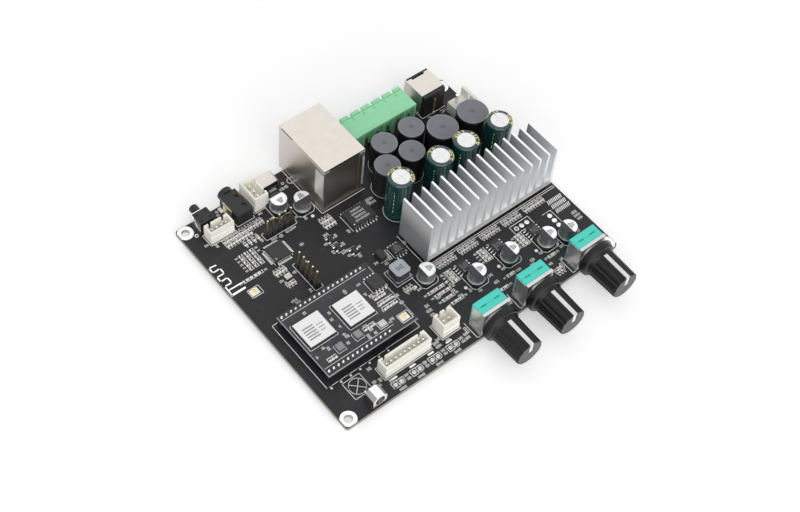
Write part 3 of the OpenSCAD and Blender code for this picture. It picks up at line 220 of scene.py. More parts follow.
def plated(name, tone, rough=0.28, streak=(1, 1, 1), depth=0.002, edge=0.1, drift=0.08, face=None,
           metal=1.0):
    """Plated or drawn metal: streaks along the way it was rolled."""
    made = Finish(name)
    lines = made.noise(6.0, 3.0, streak)
    slow = made.noise(0.25, 2.0)
    made.set(Base_Color=drifting(made, slow, tone, drift, face), Metallic=metal)
    made.set(Roughness=rough - 0.08 + lines * 0.1 + slow * 0.08)
    return made.edges(edge, lines, depth).material


finishes = {
    "black_plastic": moulded("black_plastic", (0.012, 0.012, 0.013), rough=0.4),
    "chip_black": moulded("chip_black", (0.034, 0.034, 0.035), rough=0.55, grain=12, depth=0.01),
    "terminal_green": moulded("terminal_green", (0.35, 0.82, 0.48), rough=0.42, drift=0.05),
    "cream": moulded("cream", (0.98, 0.96, 0.88), rough=0.38, drift=0.03),
    "pot_green": moulded("pot_green", (0.09, 0.74, 0.62), rough=0.4, drift=0.06),
    # The knob's end face gets a paler copy of the black: a painted highlight.
    "knob_black": moulded("knob_black", (0.005, 0.005, 0.006), rough=0.36, grain=5, depth=0.012,
                          edge=0.2, gloss=0.3, face=("Y", (0.06, 0.06, 0.062))),
    "thermal_pad": moulded("thermal_pad", (0.22, 0.26, 0.33), rough=0.75),
    "lens": moulded("lens", (0.012, 0.006, 0.009), rough=0.3, depth=0.001, coat=0.1),
    "ferrite": moulded("ferrite", (0.012, 0.012, 0.014), rough=0.3, grain=3, depth=0.006),
    "coil_block": moulded("coil_block", (0.05, 0.053, 0.06), rough=0.55, grain=8, depth=0.015,
                          edge=0.1, face=("Z", (0.43, 0.445, 0.48))),
    "coil_lid": moulded("coil_lid", (0.1, 0.1, 0.105), rough=0.5, grain=8, depth=0.01,
                        face=("Z", (0.3, 0.3, 0.31))),
    "passive_dark": moulded("passive_dark", (0.02, 0.02, 0.022), rough=0.35, edge=0.05),
    "passive_tan": moulded("passive_tan", (0.42, 0.3, 0.19), rough=0.5, edge=0.05),
    "label": moulded("label", (0.97, 0.97, 0.975), rough=0.6, drift=0.02, grain=4, depth=0.002,
                     edge=0.05),
    # The cans' sides get a darker copy of the metal than their tops: painted shade.
    "can_metal": plated("can_metal", (0.42, 0.43, 0.44), rough=0.45, streak=(0.3, 0.3, 3),
                        face=("Z", (0.88, 0.88, 0.89))),
    # The shell's faces along Y get a darker copy of its metal: painted shade.
    "shell_metal": plated("shell_metal", (0.61, 0.575, 0.525), rough=0.33, streak=(0.2, 0.2, 2),
                          depth=0.0005, face=("Y", (0.46, 0.435, 0.395))),
    # The pot covers' faces along X get a lighter copy of the sheet: a painted highlight.
    "cover_sheet": plated("cover_sheet", (0.56, 0.56, 0.555), rough=0.32, streak=(0.2, 0.2, 2),
                          depth=0.0002, face=("X", (0.92, 0.92, 0.9))),
    "tin": plated("tin", (0.8, 0.8, 0.79), rough=0.25),
    # The shield's faces along X get a darker copy of the tin: painted shade.
    "shield_tin": plated("shield_tin", (0.8, 0.8, 0.79), rough=0.3,
                         face=("X", (0.36, 0.36, 0.375), 0.4)),
    # The gold is a darker copy of the pale gold: painted shade on the header posts.
    "gold": plated("gold", (0.44, 0.37, 0.24), rough=0.4),
    "pale_gold": plated("pale_gold", (0.95, 0.84, 0.55), rough=0.3),
    "screw": plated("screw", (0.6, 0.6, 0.61), rough=0.3),
}
print(len(finishes), "plain finishes")

# %% [markdown]
# ## Solder mask
# The board is glass fibre under a black lacquer. The lacquer is smooth and slightly glossy, and
# the copper under it shows as a faint relief of straight-edged fields. A field is what lies further
# than a set distance from every point of a Voronoi pattern. The distance is the larger of the two
# steps, along X or Y, so the edges of a field run along X and Y. The cut edge of the board shows the
# bare fibre, a dull brown.

# %% Lacquered boards
POINT_SPREAD, FIELD_FROM, FIELD_SHARE, CUT_UNDER = 0.85, 0.55, 0.6, 0.5


def lacquer(name, tone, lifted, core, per_mm):
    """Lacquer over copper fields, with bare fibre on the cut edges."""
    made = Finish(name)
    cells = made.node("TexVoronoi", {"distance": "CHEBYCHEV", "feature": "F1"},
                      {"Vector": made.place((1, 1, 0)), "Scale": per_mm, "Randomness": POINT_SPREAD})
    copper = cells > FIELD_FROM
    cut = abs(made.facing("Z")) < CUT_UNDER
    top = made.mix(copper * FIELD_SHARE, tone, lifted)
    slow = made.noise(0.12, 3.0)
    made.set(Base_Color=made.mix(cut, top, core), Roughness=0.34 + slow * 0.14 + cut * 0.3)
    made.set(Specular_IOR_Level=0.3)
    return made.edges(0.1, copper, 0.012, 0.5).material


finishes["pcb"] = lacquer("pcb", (0.0145, 0.0145, 0.0165), (0.023, 0.023, 0.026),
                          core=(0.3, 0.29, 0.24), per_mm=0.16)
finishes["module_mask"] = lacquer("module_mask", (0.042, 0.042, 0.047), (0.058, 0.058, 0.064),
                                  core=(0.48, 0.46, 0.48), per_mm=0.3)
print("lacquered boards:", finishes["pcb"].name, finishes["module_mask"].name)

# %% [markdown]
# ## Extruded aluminium
# The heatsink is pressed through a die, so fine lines run along it. The sides of the fins carry
# painted shade towards their tips and the back, and a painted highlight towards the foot and the
# front ends. The outer face of the first fin is the other way round: it carries a dark painted
# reflection of the board towards its foot. The two lengths over which the tones change are measured
# on the solid itself.

# %% Extruded aluminium
FIN_PAINTED_HIGHLIGHT, FIN_PAINTED_SHADE = (0.99, 0.99, 0.995), (0.5, 0.51, 0.53)
OUTER_PAINTED_HIGHLIGHT, OUTER_PAINTED_REFLECTION, OUTER_DEEP = (0.88, 0.885, 0.895), (0.43, 0.435, 0.445), 0.9
CUT_ENDS, DEPTH_SHARE = (0.95, 0.955, 0.96), 0.7
OUTER_STEEP, OUTER_START = 2.5, 1.1
sink_lo, sink_hi = (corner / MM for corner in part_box("heatsink"))
sink_deep, sink_tall = sink_hi.y - sink_lo.y, sink_hi.z - sink_lo.z

extruded = Finish("heatsink")
at_x, at_y, at_z = (extruded.node("SeparateXYZ", inputs={"Vector": extruded.place()}, out=axis)
                    for axis in "XYZ")
# Painted light: shade towards the fins' tips and back, a highlight towards the foot and front.
painted_light_fade = (sink_hi.z - at_z) * (1.0 / sink_tall) + (sink_hi.y - at_y) * (DEPTH_SHARE / sink_deep)
painted_light_fade = painted_light_fade.math("MINIMUM", painted_light_fade, 1.0)
# On the outer face, a dark painted reflection towards the foot and a painted highlight above.
high = (at_z - sink_lo.z) * (OUTER_STEEP / sink_tall) - OUTER_START
sides = extruded.mix(at_x < sink_lo.x + OUTER_DEEP, extruded.mix(painted_light_fade, FIN_PAINTED_SHADE, FIN_PAINTED_HIGHLIGHT),
                     extruded.mix(high, OUTER_PAINTED_REFLECTION, OUTER_PAINTED_HIGHLIGHT))
die_lines = extruded.noise(6.0, 3.0, (3, 0.04, 3))
sideways = abs(extruded.facing("X")) > FLAT_ON
extruded.set(Base_Color=extruded.mix(sideways, CUT_ENDS, sides), Metallic=0.6)
extruded.set(Roughness=0.36 + die_lines * 0.12)
finishes["heatsink"] = extruded.edges(0.1, die_lines, 0.006).material
print("heatsink", round(sink_tall, 1), "mm tall")

# %% [markdown]
# ## Capacitor sleeve
# A bulk capacitor wears a shrunk plastic sleeve, dark green and glossy. It is a moulded finish too,
# with a clear coat for the gloss and a coarser grain, because shrinking leaves soft ripples.

# %% Capacitor sleeve
finishes["cap_sleeve"] = moulded("cap_sleeve", (0.003, 0.042, 0.039), rough=0.22, grain=3,
                                 depth=0.004, coat=0.6)
print("sleeve:", finishes["cap_sleeve"].name)

# %% [markdown]
# ## Finishes on the solids
# The record names a material slot for every solid. That name picks the finish, so a solid that is
# added to the model later is dressed too. A few sheets and contacts share a slot with duller parts,
# and they get a finish of their own here.

# %% Give every solid its finish
slots = {entry["node"]: entry["material_slot"] for entry in frame["record"]["subparts"]}
slots.update({"pot_cover_%d" % i: "cover_sheet" for i in (1, 2, 3)})
slots["infrared_shield"] = "shield_tin"
slots.update(dict.fromkeys(("power_jack_contacts", "audio_jack_contacts", "coax_sockets"), "pale_gold"))
for name, solid in frame["nodes"].items():
    solid.data.materials.clear()
    solid.data.materials.append(finishes[slots[name]])
print(len(frame["nodes"]), "solids finished")

# %% [markdown]
# ## Thin printed, plated and soldered details
# Print, plating and solder lie on the solids, a few hundredths of a millimetre high. They could be
# painted by a material, but then each stroke would need its own mask and would blur when the
# model is baked. Each one is a small closed shape instead. Everything is drawn in millimetres and
# scaled to metres when the drawing becomes a piece.


# %% Flat shapes to draw with
def block(bm, lo, hi):
    """A box between two corners."""
    lo, hi = Vector(lo), Vector(hi)
    size = Matrix.Diagonal((*(hi - lo), 1))
    return bmesh.ops.create_cube(bm, size=1, matrix=Matrix.Translation((lo + hi) / 2) @ size)["verts"]


def bar(bm, a, b, width, low, high):
    """A flat bar from one point of the board to another, with square ends."""
    a, b = Vector(a[:2]), Vector(b[:2])
    along = b - a
    middle = ((a + b) / 2).to_3d() + Vector((0, 0, (low + high) / 2))
    turn = Matrix.Rotation(math.atan2(along.y, along.x), 4, "Z")
    size = Matrix.Diagonal((along.length + width, width, high - low, 1))
    return bmesh.ops.create_cube(bm, size=1, matrix=Matrix.Translation(middle) @ turn @ size)["verts"]


def disc(bm, at, low, high, radius, top_radius=None, steps=24):
    """A flat round, or a low cone where the top has its own radius."""
    middle = Vector((at[0], at[1], (low + high) / 2))
    top = radius if top_radius is None else top_radius
    return bmesh.ops.create_cone(bm, cap_ends=True, segments=steps, radius1=radius, radius2=top,
                                 depth=high - low, matrix=Matrix.Translation(middle))["verts"]


def spun(bm, at, section, start=0.0, sweep=360.0, steps=32):
    """A ring, or an arc of one, spun from a closed section of (radius, height) points."""
    out = Vector((math.cos(math.radians(start)), math.sin(math.radians(start))))
    corners = [bm.verts.new((at[0] + out.x * r, at[1] + out.y * r, z)) for r, z in section]
    sides = [bm.edges.new((corners[i - 1], corners[i])) for i in range(len(corners))]
    made = bmesh.ops.spin(bm, geom=corners + sides, cent=(at[0], at[1], 0), axis=(0, 0, 1), steps=steps,
                          angle=math.radians(sweep), use_merge=sweep == 360.0)
    if sweep < 360.0:
        far = [item for item in made["geom_last"] if isinstance(item, bmesh.types.BMEdge)]
        bmesh.ops.holes_fill(bm, edges=sides)
        bmesh.ops.holes_fill(bm, edges=far)


def ring(bm, at, inner, outer, low, high, **turn):
    """A flat ring."""
    spun(bm, at, [(inner, low), (outer, low), (outer, high), (inner, high)], **turn)


print("flat shapes ready")

# %% [markdown]
# Every piece is handed over the same way: scaled, its faces turned outwards, given a finish, and
# told which body it rides on. A node may hold many small solids, and the print follows them, so
# one helper finds the box of each. A detail is sunk a thousandth of a millimetre into what carries
# it, so that no gap shows under it.

# %% From a drawing to a piece
SAME_POINT = 0.0005


def piece(name, bm, finish, body="board"):
    bmesh.ops.recalc_face_normals(bm, faces=bm.faces)
    bmesh.ops.scale(bm, vec=(MM, MM, MM), verts=bm.verts)
    mesh = bpy.data.meshes.new(name)
    bm.to_mesh(mesh)
    bm.free()
    mesh.materials.append(finish)
    made = bpy.data.objects.new(name, mesh)
    bpy.context.scene.collection.objects.link(made)
    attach(made, body)
    print(name + ":", len(mesh.polygons), "faces")
    return made


def solids(node):
    """Lowest and highest corner, in millimetres, of each separate solid of a node."""
    bm = bmesh.new()
    bm.from_mesh(frame["nodes"][node].data)
    bmesh.ops.remove_doubles(bm, verts=bm.verts, dist=SAME_POINT * MM)
    left, boxes = set(bm.verts), []
    while left:
        queue, group = [left.pop()], []
        while queue:
            vert = queue.pop()
            group.append(vert.co / MM)
            near = {edge.other_vert(vert) for edge in vert.link_edges} & left
            left -= near
            queue += near
        boxes.append(tuple(Vector(pick(co[i] for co in group) for i in range(3))
                           for pick in (min, max)))
    bm.free()
    return sorted(boxes, key=lambda corners: (round(corners[0].x, 2), round(corners[0].y, 2)))


TOP = BOARD_HI.z
SUNK = 0.001
dice = random.Random(7)


def spot(x, y):
    """A place on the board, in millimetres from its front left corner."""
    return BOARD_LO.xy + Vector((x, y))


def middle(corners):
    return (corners[0] + corners[1]) / 2


print("board top", round(TOP, 2), "mm,", len(solids("chip_leads")), "chip leads")

# %% [markdown]
# ## Inks and solder
# Board print is a thick white ink with a slightly chalky face. The capacitors carry gold ink on
# their sleeves and dark ink on their cans. Solder is brighter and smoother than the tinned
# leads, because it froze from a liquid.

# %% Inks and solder
inks = {
    name: moulded(name + "_ink", tone, rough=rough, drift=drift, grain=5, depth=0.003, edge=0.02)
    for name, tone, rough, drift in (
        ("white", (0.93, 0.93, 0.91), 0.6, 0.06), ("grey", (0.36, 0.36, 0.37), 0.6, 0.1),
        ("dark", (0.035, 0.036, 0.04), 0.4, 0.12), ("gold", (0.9, 0.82, 0.38), 0.35, 0.15))
}
solder = plated("solder", (0.8, 0.8, 0.79), rough=0.2, drift=0.04, edge=0.08)
print("inks:", ", ".join(inks))

# %% [markdown]
# ## Plated holes and the printed aerial
# Bare copper on the board is tinned. There is a wide ring round each mounting hole on both faces, a
# small one round each spare hole, and a folded strip at the left edge that works as an aerial. The
# walls of the mounting holes get a darker copy of the tin, painted shade inside the holes; the
# solder in the lamp holes and one more ring pad get the same darker tin.

# %% Ring pads and aerial
PLATE, WALL_IN, WALL_OUT = 0.04, 0.03, 0.02
BLOB, BLOB_IN, BLOB_TOP = 0.16, 0.1, 0.45
MOUNT_INSET, MOUNT_R, MOUNT_PAD_R, EDGE_GAP = 2.75, 1.6, 3.0, 0.12
SPARE_R, SPARE_PAD_R, LAMP_PAD_R = 0.5, 0.95, 0.76
SPARE_ROW, SPARE_COLUMN = (102.45, 27.3), (113.8, 21.85)
LAMP_AT, LAMP_STEP, PITCH = (24.6, 3.35), 8.08, 2.54
WIDE, DEEP = (BOARD_HI - BOARD_LO).xy
lamp_holes = [(LAMP_AT[0] + i * LAMP_STEP + s * PITCH / 2, LAMP_AT[1]) for i in range(4) for s in (-1, 1)]
spare_holes = [(SPARE_ROW[0] + i * PITCH, SPARE_ROW[1]) for i in (-1, 0, 1)]
spare_holes += [(SPARE_COLUMN[0], SPARE_COLUMN[1] + i * PITCH) for i in (-1, 0, 1)]
ON_TOP = (TOP - SUNK, TOP + PLATE)
FACES = ((-PLATE, SUNK), ON_TOP)

rings, walls = bmesh.new(), bmesh.new()
for x in (MOUNT_INSET, WIDE - MOUNT_INSET):
    for y in (MOUNT_INSET, DEEP - MOUNT_INSET):
        for face in FACES:
            ring(rings, spot(x, y), MOUNT_R + WALL_OUT, MOUNT_PAD_R, *face, steps=48)
        ring(walls, spot(x, y), MOUNT_R - WALL_IN, MOUNT_R + WALL_OUT, -PLATE, TOP + PLATE, steps=48)
for edge, outward in ((BOARD_LO, -1), (BOARD_HI, 1)):
    for normal in (Vector((outward, 0, 0)), Vector((0, outward, 0))):
        every = [*rings.verts, *rings.edges, *rings.faces]
        cut = bmesh.ops.bisect_plane(rings, geom=every, plane_co=edge - normal * EDGE_GAP,
                                     plane_no=normal, clear_outer=True)["geom_cut"]
        bmesh.ops.holes_fill(rings, edges=[part for part in cut if isinstance(part, bmesh.types.BMEdge)])
for holes, outer in ((lamp_holes, LAMP_PAD_R), (spare_holes, SPARE_PAD_R)):
    for x, y in holes:
        for face in FACES:
            ring(rings, spot(x, y), SPARE_R, outer, *face, steps=24)
        if (x, y) != spare_holes[0]:
            disc(walls if holes is lamp_holes else rings, spot(x, y), TOP, TOP + BLOB,
                 outer - BLOB_IN, outer * BLOB_TOP, steps=20)
ring(rings, spot(5.3, 93.0), 0.4, 0.75, *ON_TOP)
ring(walls, spot(47.0, 93.4), 1.0, 1.5, *ON_TOP)
piece("ring_pads", rings, solder)
# A darker copy of the tin: painted shade on the hole walls.
piece("shaded_hole_walls", walls, plated("painted_shade_plating", (0.5, 0.5, 0.49), rough=0.35))

FEED = 64.9
FOLDS = [(3.3, 78.6), (0.7, 78.9), (0.7, 76.5), (3.7, 76.6), (3.8, 74.1), (0.7, 74.1), (0.8, 71.8),
         (3.5, 72.0), (3.6, 69.3), (0.7, 69.4), (0.6, FEED), (5.9, FEED)]
aerial = bmesh.new()
for a, b in [*zip(FOLDS, FOLDS[1:]), ((1.2, 67.3), (6.3, 67.2))]:
    bar(aerial, spot(*a), spot(*b), 0.8 if a[1] == b[1] == FEED else 0.5, *ON_TOP)
piece("printed_aerial", aerial, plated("dull_tin", (0.95, 0.95, 0.94), rough=0.5, drift=0.03))

# %% [markdown]
# ## Solder at the small parts
# A chip resistor or capacitor has a metal cap on each end, and solder climbs up to it from a pad.
# One wedge and one sleeve of metal make each end. Lying pads under the bent leads of the larger
# chips complete the bright specks that cover such a board.


# %% End caps, fillets and pads
CAP_REACH, CAP_PROUD, FILLET_REACH, FILLET_TOE = 0.24, 0.015, 0.34, 0.06
LEAD_REACH, LEAD_SIDE, TABS = 0.22, 0.04, ((0.16, 0.7), (0.85, 0.16))
TAB_HALF, TAB_SPREAD, TABBED = 0.32, 0.95, slice(2, 5)


def solder_end(bm, corners, axis, side):
    """Metal cap and solder wedge at one end of a small part."""
    lo, hi = corners[0].copy(), corners[1].copy()
    across = 1 - axis
    end = (lo, hi)[side > 0][axis]
    for corner, sign in ((lo, -1), (hi, 1)):
        corner[across] += sign * CAP_PROUD
    hi.z += CAP_PROUD
    lo[axis], hi[axis] = sorted((end - side * CAP_REACH, end + side * CAP_PROUD))
    block(bm, lo, hi)
    foot = lo.z
    lo[axis], hi[axis] = sorted((end, end + side * FILLET_REACH))
    hi.z -= 0.1
    for vert in block(bm, lo, hi):
        if vert.co.z > foot + 0.1 and (vert.co[axis] - end) * side > FILLET_REACH / 2:
            vert.co.z = foot + FILLET_TOE


small_parts = solids("chip_resistors") + solids("chip_capacitors")
ends = bmesh.new()
for corners in small_parts:
    size = corners[1] - corners[0]
    for side in (-1, 1):
        solder_end(ends, corners, 0 if size.x > size.y else 1, side)
piece("small_part_solder", ends, solder)

pads = bmesh.new()
for lo, hi in solids("chip_leads"):
    lengthways = Vector((1, 0, 0)) if hi.x - lo.x > hi.y - lo.y else Vector((0, 1, 0))
    grow = lengthways * LEAD_REACH + Vector((LEAD_SIDE, LEAD_SIDE, 0))
    block(pads, Vector((*lo.xy, lo.z - SUNK)) - grow, Vector((*hi.xy, lo.z + PLATE)) + grow)
for lo, hi in solids("chips")[TABBED]:
    at = middle((lo, hi))
    for side, places in ((-1, (-TAB_SPREAD, TAB_SPREAD)), (1, (0,))):
        edge = at.x + side * (hi.x - lo.x) / 2
        for y in places:
            for reach, tall in TABS:
                near, far = sorted((edge, edge + side * reach))
                block(pads, (near, at.y + y - TAB_HALF, lo.z - SUNK), (far, at.y + y + TAB_HALF, lo.z + tall))
piece("lead_pads", pads, solder)

# %% [markdown]
# Under the board every lead comes through a hole and is soldered. The solder draws up the lead as
# it freezes, so a joint is a small hollow cone, here spun from a curved section.

# %% Joints under the board
CORE_R, NECK_SHARE, REACH_SHARE = 0.05, 0.72, 0.62
joints = bmesh.new()
for node, foot, steps in (("heavy_lead_tails", 1.5, 20), ("light_lead_tails", 0.85, 12)):
    for corners in solids(node):
        neck = (corners[1].x - corners[0].x) * NECK_SHARE
        reach = corners[0].z * REACH_SHARE
        curve = [(CORE_R, SUNK), (foot, SUNK), (foot, -PLATE), (foot * 0.62, reach * 0.3),
                 (neck + 0.04, reach * 0.62), (neck, reach), (CORE_R, reach)]
        spun(joints, middle(corners), curve, steps=steps)
piece("solder_joints", joints, solder)

# %% [markdown]
# ## Board print
# White lines show where each part sits: a frame round a header or a chip, a ring round a drum, a
# cut-cornered frame round a can. Most follow the solids, so they are drawn from the solids' own
# boxes. Short plain strokes stand in rows beside the parts.

# %% Lines, frames and strokes
INK_HIGH, INK_W = 0.025, 0.23
INKED = (TOP - SUNK, TOP + INK_HIGH)


def line(bm, points, width=INK_W, level=TOP):
    """Bars that follow a row of points."""
    for a, b in zip(points, points[1:]):
        bar(bm, a, b, width, level - SUNK, level + INK_HIGH)


def framed(bm, corners, margin=0.45, sides="FRBL", cut=0.0, level=TOP):
    """Lines at a margin round a box, on the sides named, with the front corners cut if asked."""
    x0, y0 = (max(corners[0][i] - margin, BOARD_LO[i] + INK_W) for i in (0, 1))
    x1, y1 = (min(corners[1][i] + margin, BOARD_HI[i] - INK_W) for i in (0, 1))
    runs = {"F": [(x0 + cut, y0), (x1 - cut, y0)], "R": [(x1, y0 + cut), (x1, y1)],
            "B": [(x1, y1), (x0, y1)], "L": [(x0, y1), (x0, y0 + cut)]}
    for side in sides:
        line(bm, runs[side], level=level)
    if cut:
        line(bm, [(x0, y0 + cut), (x0 + cut, y0)], level=level)
        line(bm, [(x1 - cut, y0), (x1, y0 + cut)], level=level)


def strokes(bm, at, count, along=(1, 0), tall=0.9, level=TOP, step=0.42, width=0.19):
    """A row of short plain strokes."""
    along = Vector(along).normalized()
    across = Vector((-along.y, along.x))
    for i in range(count):
        foot = Vector(at[:2]) + along * (i - (count - 1) / 2) * step
        half = across * tall * dice.choice((0.3, 0.4, 0.5))
        bar(bm, foot - half, foot + half, width, level - SUNK, level + INK_HIGH)


print("ink", INK_HIGH, "mm thick")

# %% [markdown]
# The frames come first. A box, or the middle and radius of a box, is all that a frame needs, so a
# frame follows its part wherever the model puts it. Frames that would run off the board stop at its
# edge, and the cans' frames have their front corners cut, as the plastic base above them has.

# %% Frames round the parts
CAN_HALF, CAN_CUT, CAN_DOTS, DOT_R = 3.75, 1.2, [(-0.7, 5.4), (0.7, -5.4)] + [(-5.4, -0.7)] * 5, 0.68
LEAST_FRAMED, SINK_GAPS = 4, (0.5, 1.3)
HEADERS = ("signal_header", "aux_header", "display_header", "lamp_header")
print_lines = bmesh.new()
for node in (*HEADERS, "audio_jack_housing", "pin_header_bases", "power_inductor"):
    for corners in solids(node):
        framed(print_lines, corners)
for corners in solids("chips"):
    size = corners[1] - corners[0]
    if max(size.xy) > LEAST_FRAMED:
        lengthways = "LR" if size.x > size.y else "FB"
        framed(print_lines, corners, 0.3, "FRBL" if size.x == size.y else lengthways)
for corners in solids("chips")[TABBED]:
    framed(print_lines, corners, 0.55, "FB")
framed(print_lines, solids("network_jack_shell")[0], sides="FL")
framed(print_lines, solids("power_jack_housing")[0], 0.6, sides="FL")
framed(print_lines, solids("supply_header")[0], sides="FL")
for node in ("bulk_capacitors", "small_inductors", "large_inductors"):
    for corners in solids(node):
        radius = (corners[1].x - corners[0].x) / 2
        ring(print_lines, middle(corners), radius + 0.08, radius + 0.25, *INKED, steps=48)
for corners, dot in zip(solids("can_capacitors"), CAN_DOTS):
    at = middle(corners).xy
    half = Vector((CAN_HALF, CAN_HALF))
    framed(print_lines, (at - half, at + half), 0.0, "FRL", cut=CAN_CUT)
    disc(print_lines, at + Vector(dot), *INKED, DOT_R)
lo, hi = solids("heatsink")[0]
for gap in SINK_GAPS:
    line(print_lines, [(lo.x - 0.2, lo.y - gap), (hi.x + 0.9, lo.y - gap)])
line(print_lines, [(lo.x - 0.35, lo.y - SINK_GAPS[1]), (lo.x - 0.35, hi.y + 0.4)])
for i in (1, 2, 3):
    lo, hi = solids("pot_cover_%d" % i)[0]
    left, front = lo.x - 0.9, BOARD_LO.y + 0.7
    line(print_lines, [(left, hi.y + 1.6), (left, front), (lo.x, front)])
    framed(print_lines, ((lo.x - 2.4, lo.y + 4.6), (lo.x - 1.7, lo.y + 7.0)), 0.0)
print("frames:", len(print_lines.faces), "faces")

# %% [markdown]
# The rest of the print belongs to places and not to parts: the frame and the dotted rows of the
# module's seat, a crossed circle in a square, boxes round spare holes, and a field of slanted bars.
# These are laid out in millimetres from the board's front left corner.

# %% Frames that follow the layout
SEAT_L, SEAT_R, SEAT_F, SEAT_B, SEAT_W = 4.1, 44.6, 16.2, 46.6, 0.25
SEAT_DOTS, SEAT_STEP, SEAT_PINS = 7, 4.07, 14
EYE, EYE_R, EYE_W = spot(12.8, 10.6), 3.1, 0.1
LAMP_HALF = 1.25
line(print_lines, [spot(SEAT_R, SEAT_B), spot(SEAT_L, SEAT_B), spot(SEAT_L, 16.1)], SEAT_W)
line(print_lines, [spot(29.9, SEAT_F), spot(SEAT_R, SEAT_F), spot(SEAT_R, SEAT_B)], SEAT_W)
for i in range(SEAT_DOTS):
    x = 29.85 - i * SEAT_STEP
    disc(print_lines, spot(x, 15.2), *INKED, 0.42, steps=14)
    line(print_lines, [spot(x - 0.25, 16.0), spot(x - 0.05, 15.3)], 0.16)
    if i < SEAT_DOTS - 1:
        line(print_lines, [spot(x - 0.9, 15.95), spot(x - 3.7, 15.95)], 0.22)
for i in range(SEAT_PINS):
    disc(print_lines, spot(13.0 + i * 2.0, 47.7), *INKED, 0.36, steps=12)
framed(print_lines, (spot(9.1, 6.9), spot(16.3, 14.3)), 0.0)
ring(print_lines, EYE, EYE_R - EYE_W, EYE_R + EYE_W, *INKED, steps=40)
for s in (-1, 1):
    tip = Vector((s, 1)).normalized() * EYE_R
    line(print_lines, [EYE - tip, EYE + tip])
for x, y in lamp_holes[::2]:
    framed(print_lines, (spot(x - LAMP_HALF, y - LAMP_HALF), spot(x + 1.2, y + LAMP_HALF)), 0.0)
    bar(print_lines, spot(x + 0.3, 5.65), spot(x + 2.1, 5.65), 0.75, *INKED)
    strokes(print_lines, spot(x + 1.2, 0.85), 7, tall=1.0)
    for row in (2.6, 4.1):
        strokes(print_lines, spot(x + 5.3, row), 4, tall=1.1)
for x, y in lamp_holes[1::2]:
    framed(print_lines, (spot(x - 1.1, y - 1.15), spot(x + LAMP_HALF, y + 1.15)), 0.0, "FRB", cut=0.6)
framed(print_lines, (spot(98.0, 25.4), spot(107.0, 29.2)), 0.0)
line(print_lines, [spot(111.9, 26.2), spot(115.7, 26.2), spot(115.7, 17.6)])
for row in range(3):
    for i in range(10):
        x, y = 117.1 + i * 0.7, 23.7 + row * 2.3
        line(print_lines, [spot(x, y), spot(x + 0.45, y + 1.45)], 0.36)
for lo, hi in solids("coax_sockets"):
    framed(print_lines, (lo, hi + Vector((0.9, 0, 0))), 0.55, level=lo.z)
    block(print_lines, (lo.x - 0.25, lo.y - 0.04, lo.z - SUNK), (hi.x + 0.4, hi.y + 0.04, lo.z + 0.37))
bar(print_lines, spot(18.6, 96.6), spot(18.6, 97.6), 1.3, TOP - SUNK, TOP + 0.4)
for x, y in ((114.6, 86.2), (108.5, 86.4)):
    hook = ((-0.6, -0.5), (0.6, -0.5), (0.6, 0.5), (-0.6, 0.5))
    line(print_lines, [spot(x + dx, y + dy) for dx, dy in hook], 0.3)
ring(print_lines, spot(43.9, 94.0), 0.42, 0.62, *INKED, steps=20)
piece("board_print", print_lines, inks["white"])

# %% [markdown]
# Each small part has a pair of lines beside it and, here and there, its row of strokes. A mark goes
# only where the board is free, so the boxes of everything that stands on the board are kept in a
# list.

# %% Marks at the small parts
standing = [corners for name in frame["nodes"] if name not in ("main_pcb", "heatsink", "module_board")
            for corners in solids(name) if TOP - 0.1 < corners[0].z < TOP + 0.5]


def is_free(at, reach):
    """True where nothing stands within reach of a place on the board."""
    return (all(lo.x - reach > at.x or at.x > hi.x + reach or lo.y - reach > at.y or at.y > hi.y + reach
                for lo, hi in standing)
            and all(BOARD_LO[i] + reach < at[i] < BOARD_HI[i] - reach for i in (0, 1)))


ALONG = ((1, 0), (0, 1))
MARK_ROWS = (
    (51.4, 17.2, 5), (51.4, 19.2, 6), (52.0, 21.2, 4), (94.0, 12.0, 5), (96.5, 7.0, 4), (73.5, 11.5, 5),
    (75.8, 8.8, 3), (33.0, 68.0, 4), (20.0, 13.5, 4), (26.6, 75.7, 6), (29.3, 75.3, 4), (33.8, 75.6, 11),
    (39.3, 93.7, 7), (42.9, 92.0, 9), (111.0, 85.6, 5), (47.0, 71.9, 8), (46.8, 70.5, 11), (47.4, 69.1, 9),
    (42.4, 66.2, 5), (44.2, 56.3, 3), (65.0, 69.6, 8), (65.0, 67.8, 8), (17.0, 97.4, 3), (16.6, 96.0, 3),
    (16.4, 50.4, 6), (17.2, 49.0, 5), (44.7, 7.8, 6), (44.7, 6.2, 6), (122.2, 20.3, 6), (122.3, 18.7, 7),
    (122.3, 17.1, 6), (55.2, 4.4, 4), (55.0, 2.8, 5), (100.6, 5.4, 5), (100.9, 3.9, 4), (57.6, 21.4, 5),
    (18.2, 8.4, 4), (18.8, 6.6, 4), (88.4, 13.4, 5), (95.2, 13.6, 5), (78.6, 17.6, 4), (78.4, 14.2, 5),
    (103.9, 7.6, 4), (99.4, 8.4, 4), (63.6, 20.6, 4), (64.4, 17.4, 5), (84.6, 7.0, 4), (110.6, 13.0, 5),
    (110.4, 11.4, 4), (117.6, 13.2, 4))
marks = bmesh.new()
for lo, hi in small_parts:
    along_x = hi.x - lo.x > hi.y - lo.y
    framed(marks, (lo, hi), 0.2 if along_x else 0.18, "FB" if along_x else "LR", level=lo.z)
    offset = Vector((0, 1.35)) if not along_x else Vector((1.9, 0))
    for side in (-1, 1):
        at = middle((lo, hi)).xy + offset * side
        if lo.z < TOP + 0.1 and is_free(at, 0.35):
            strokes(marks, at, 3 if along_x else 2, tall=0.8)
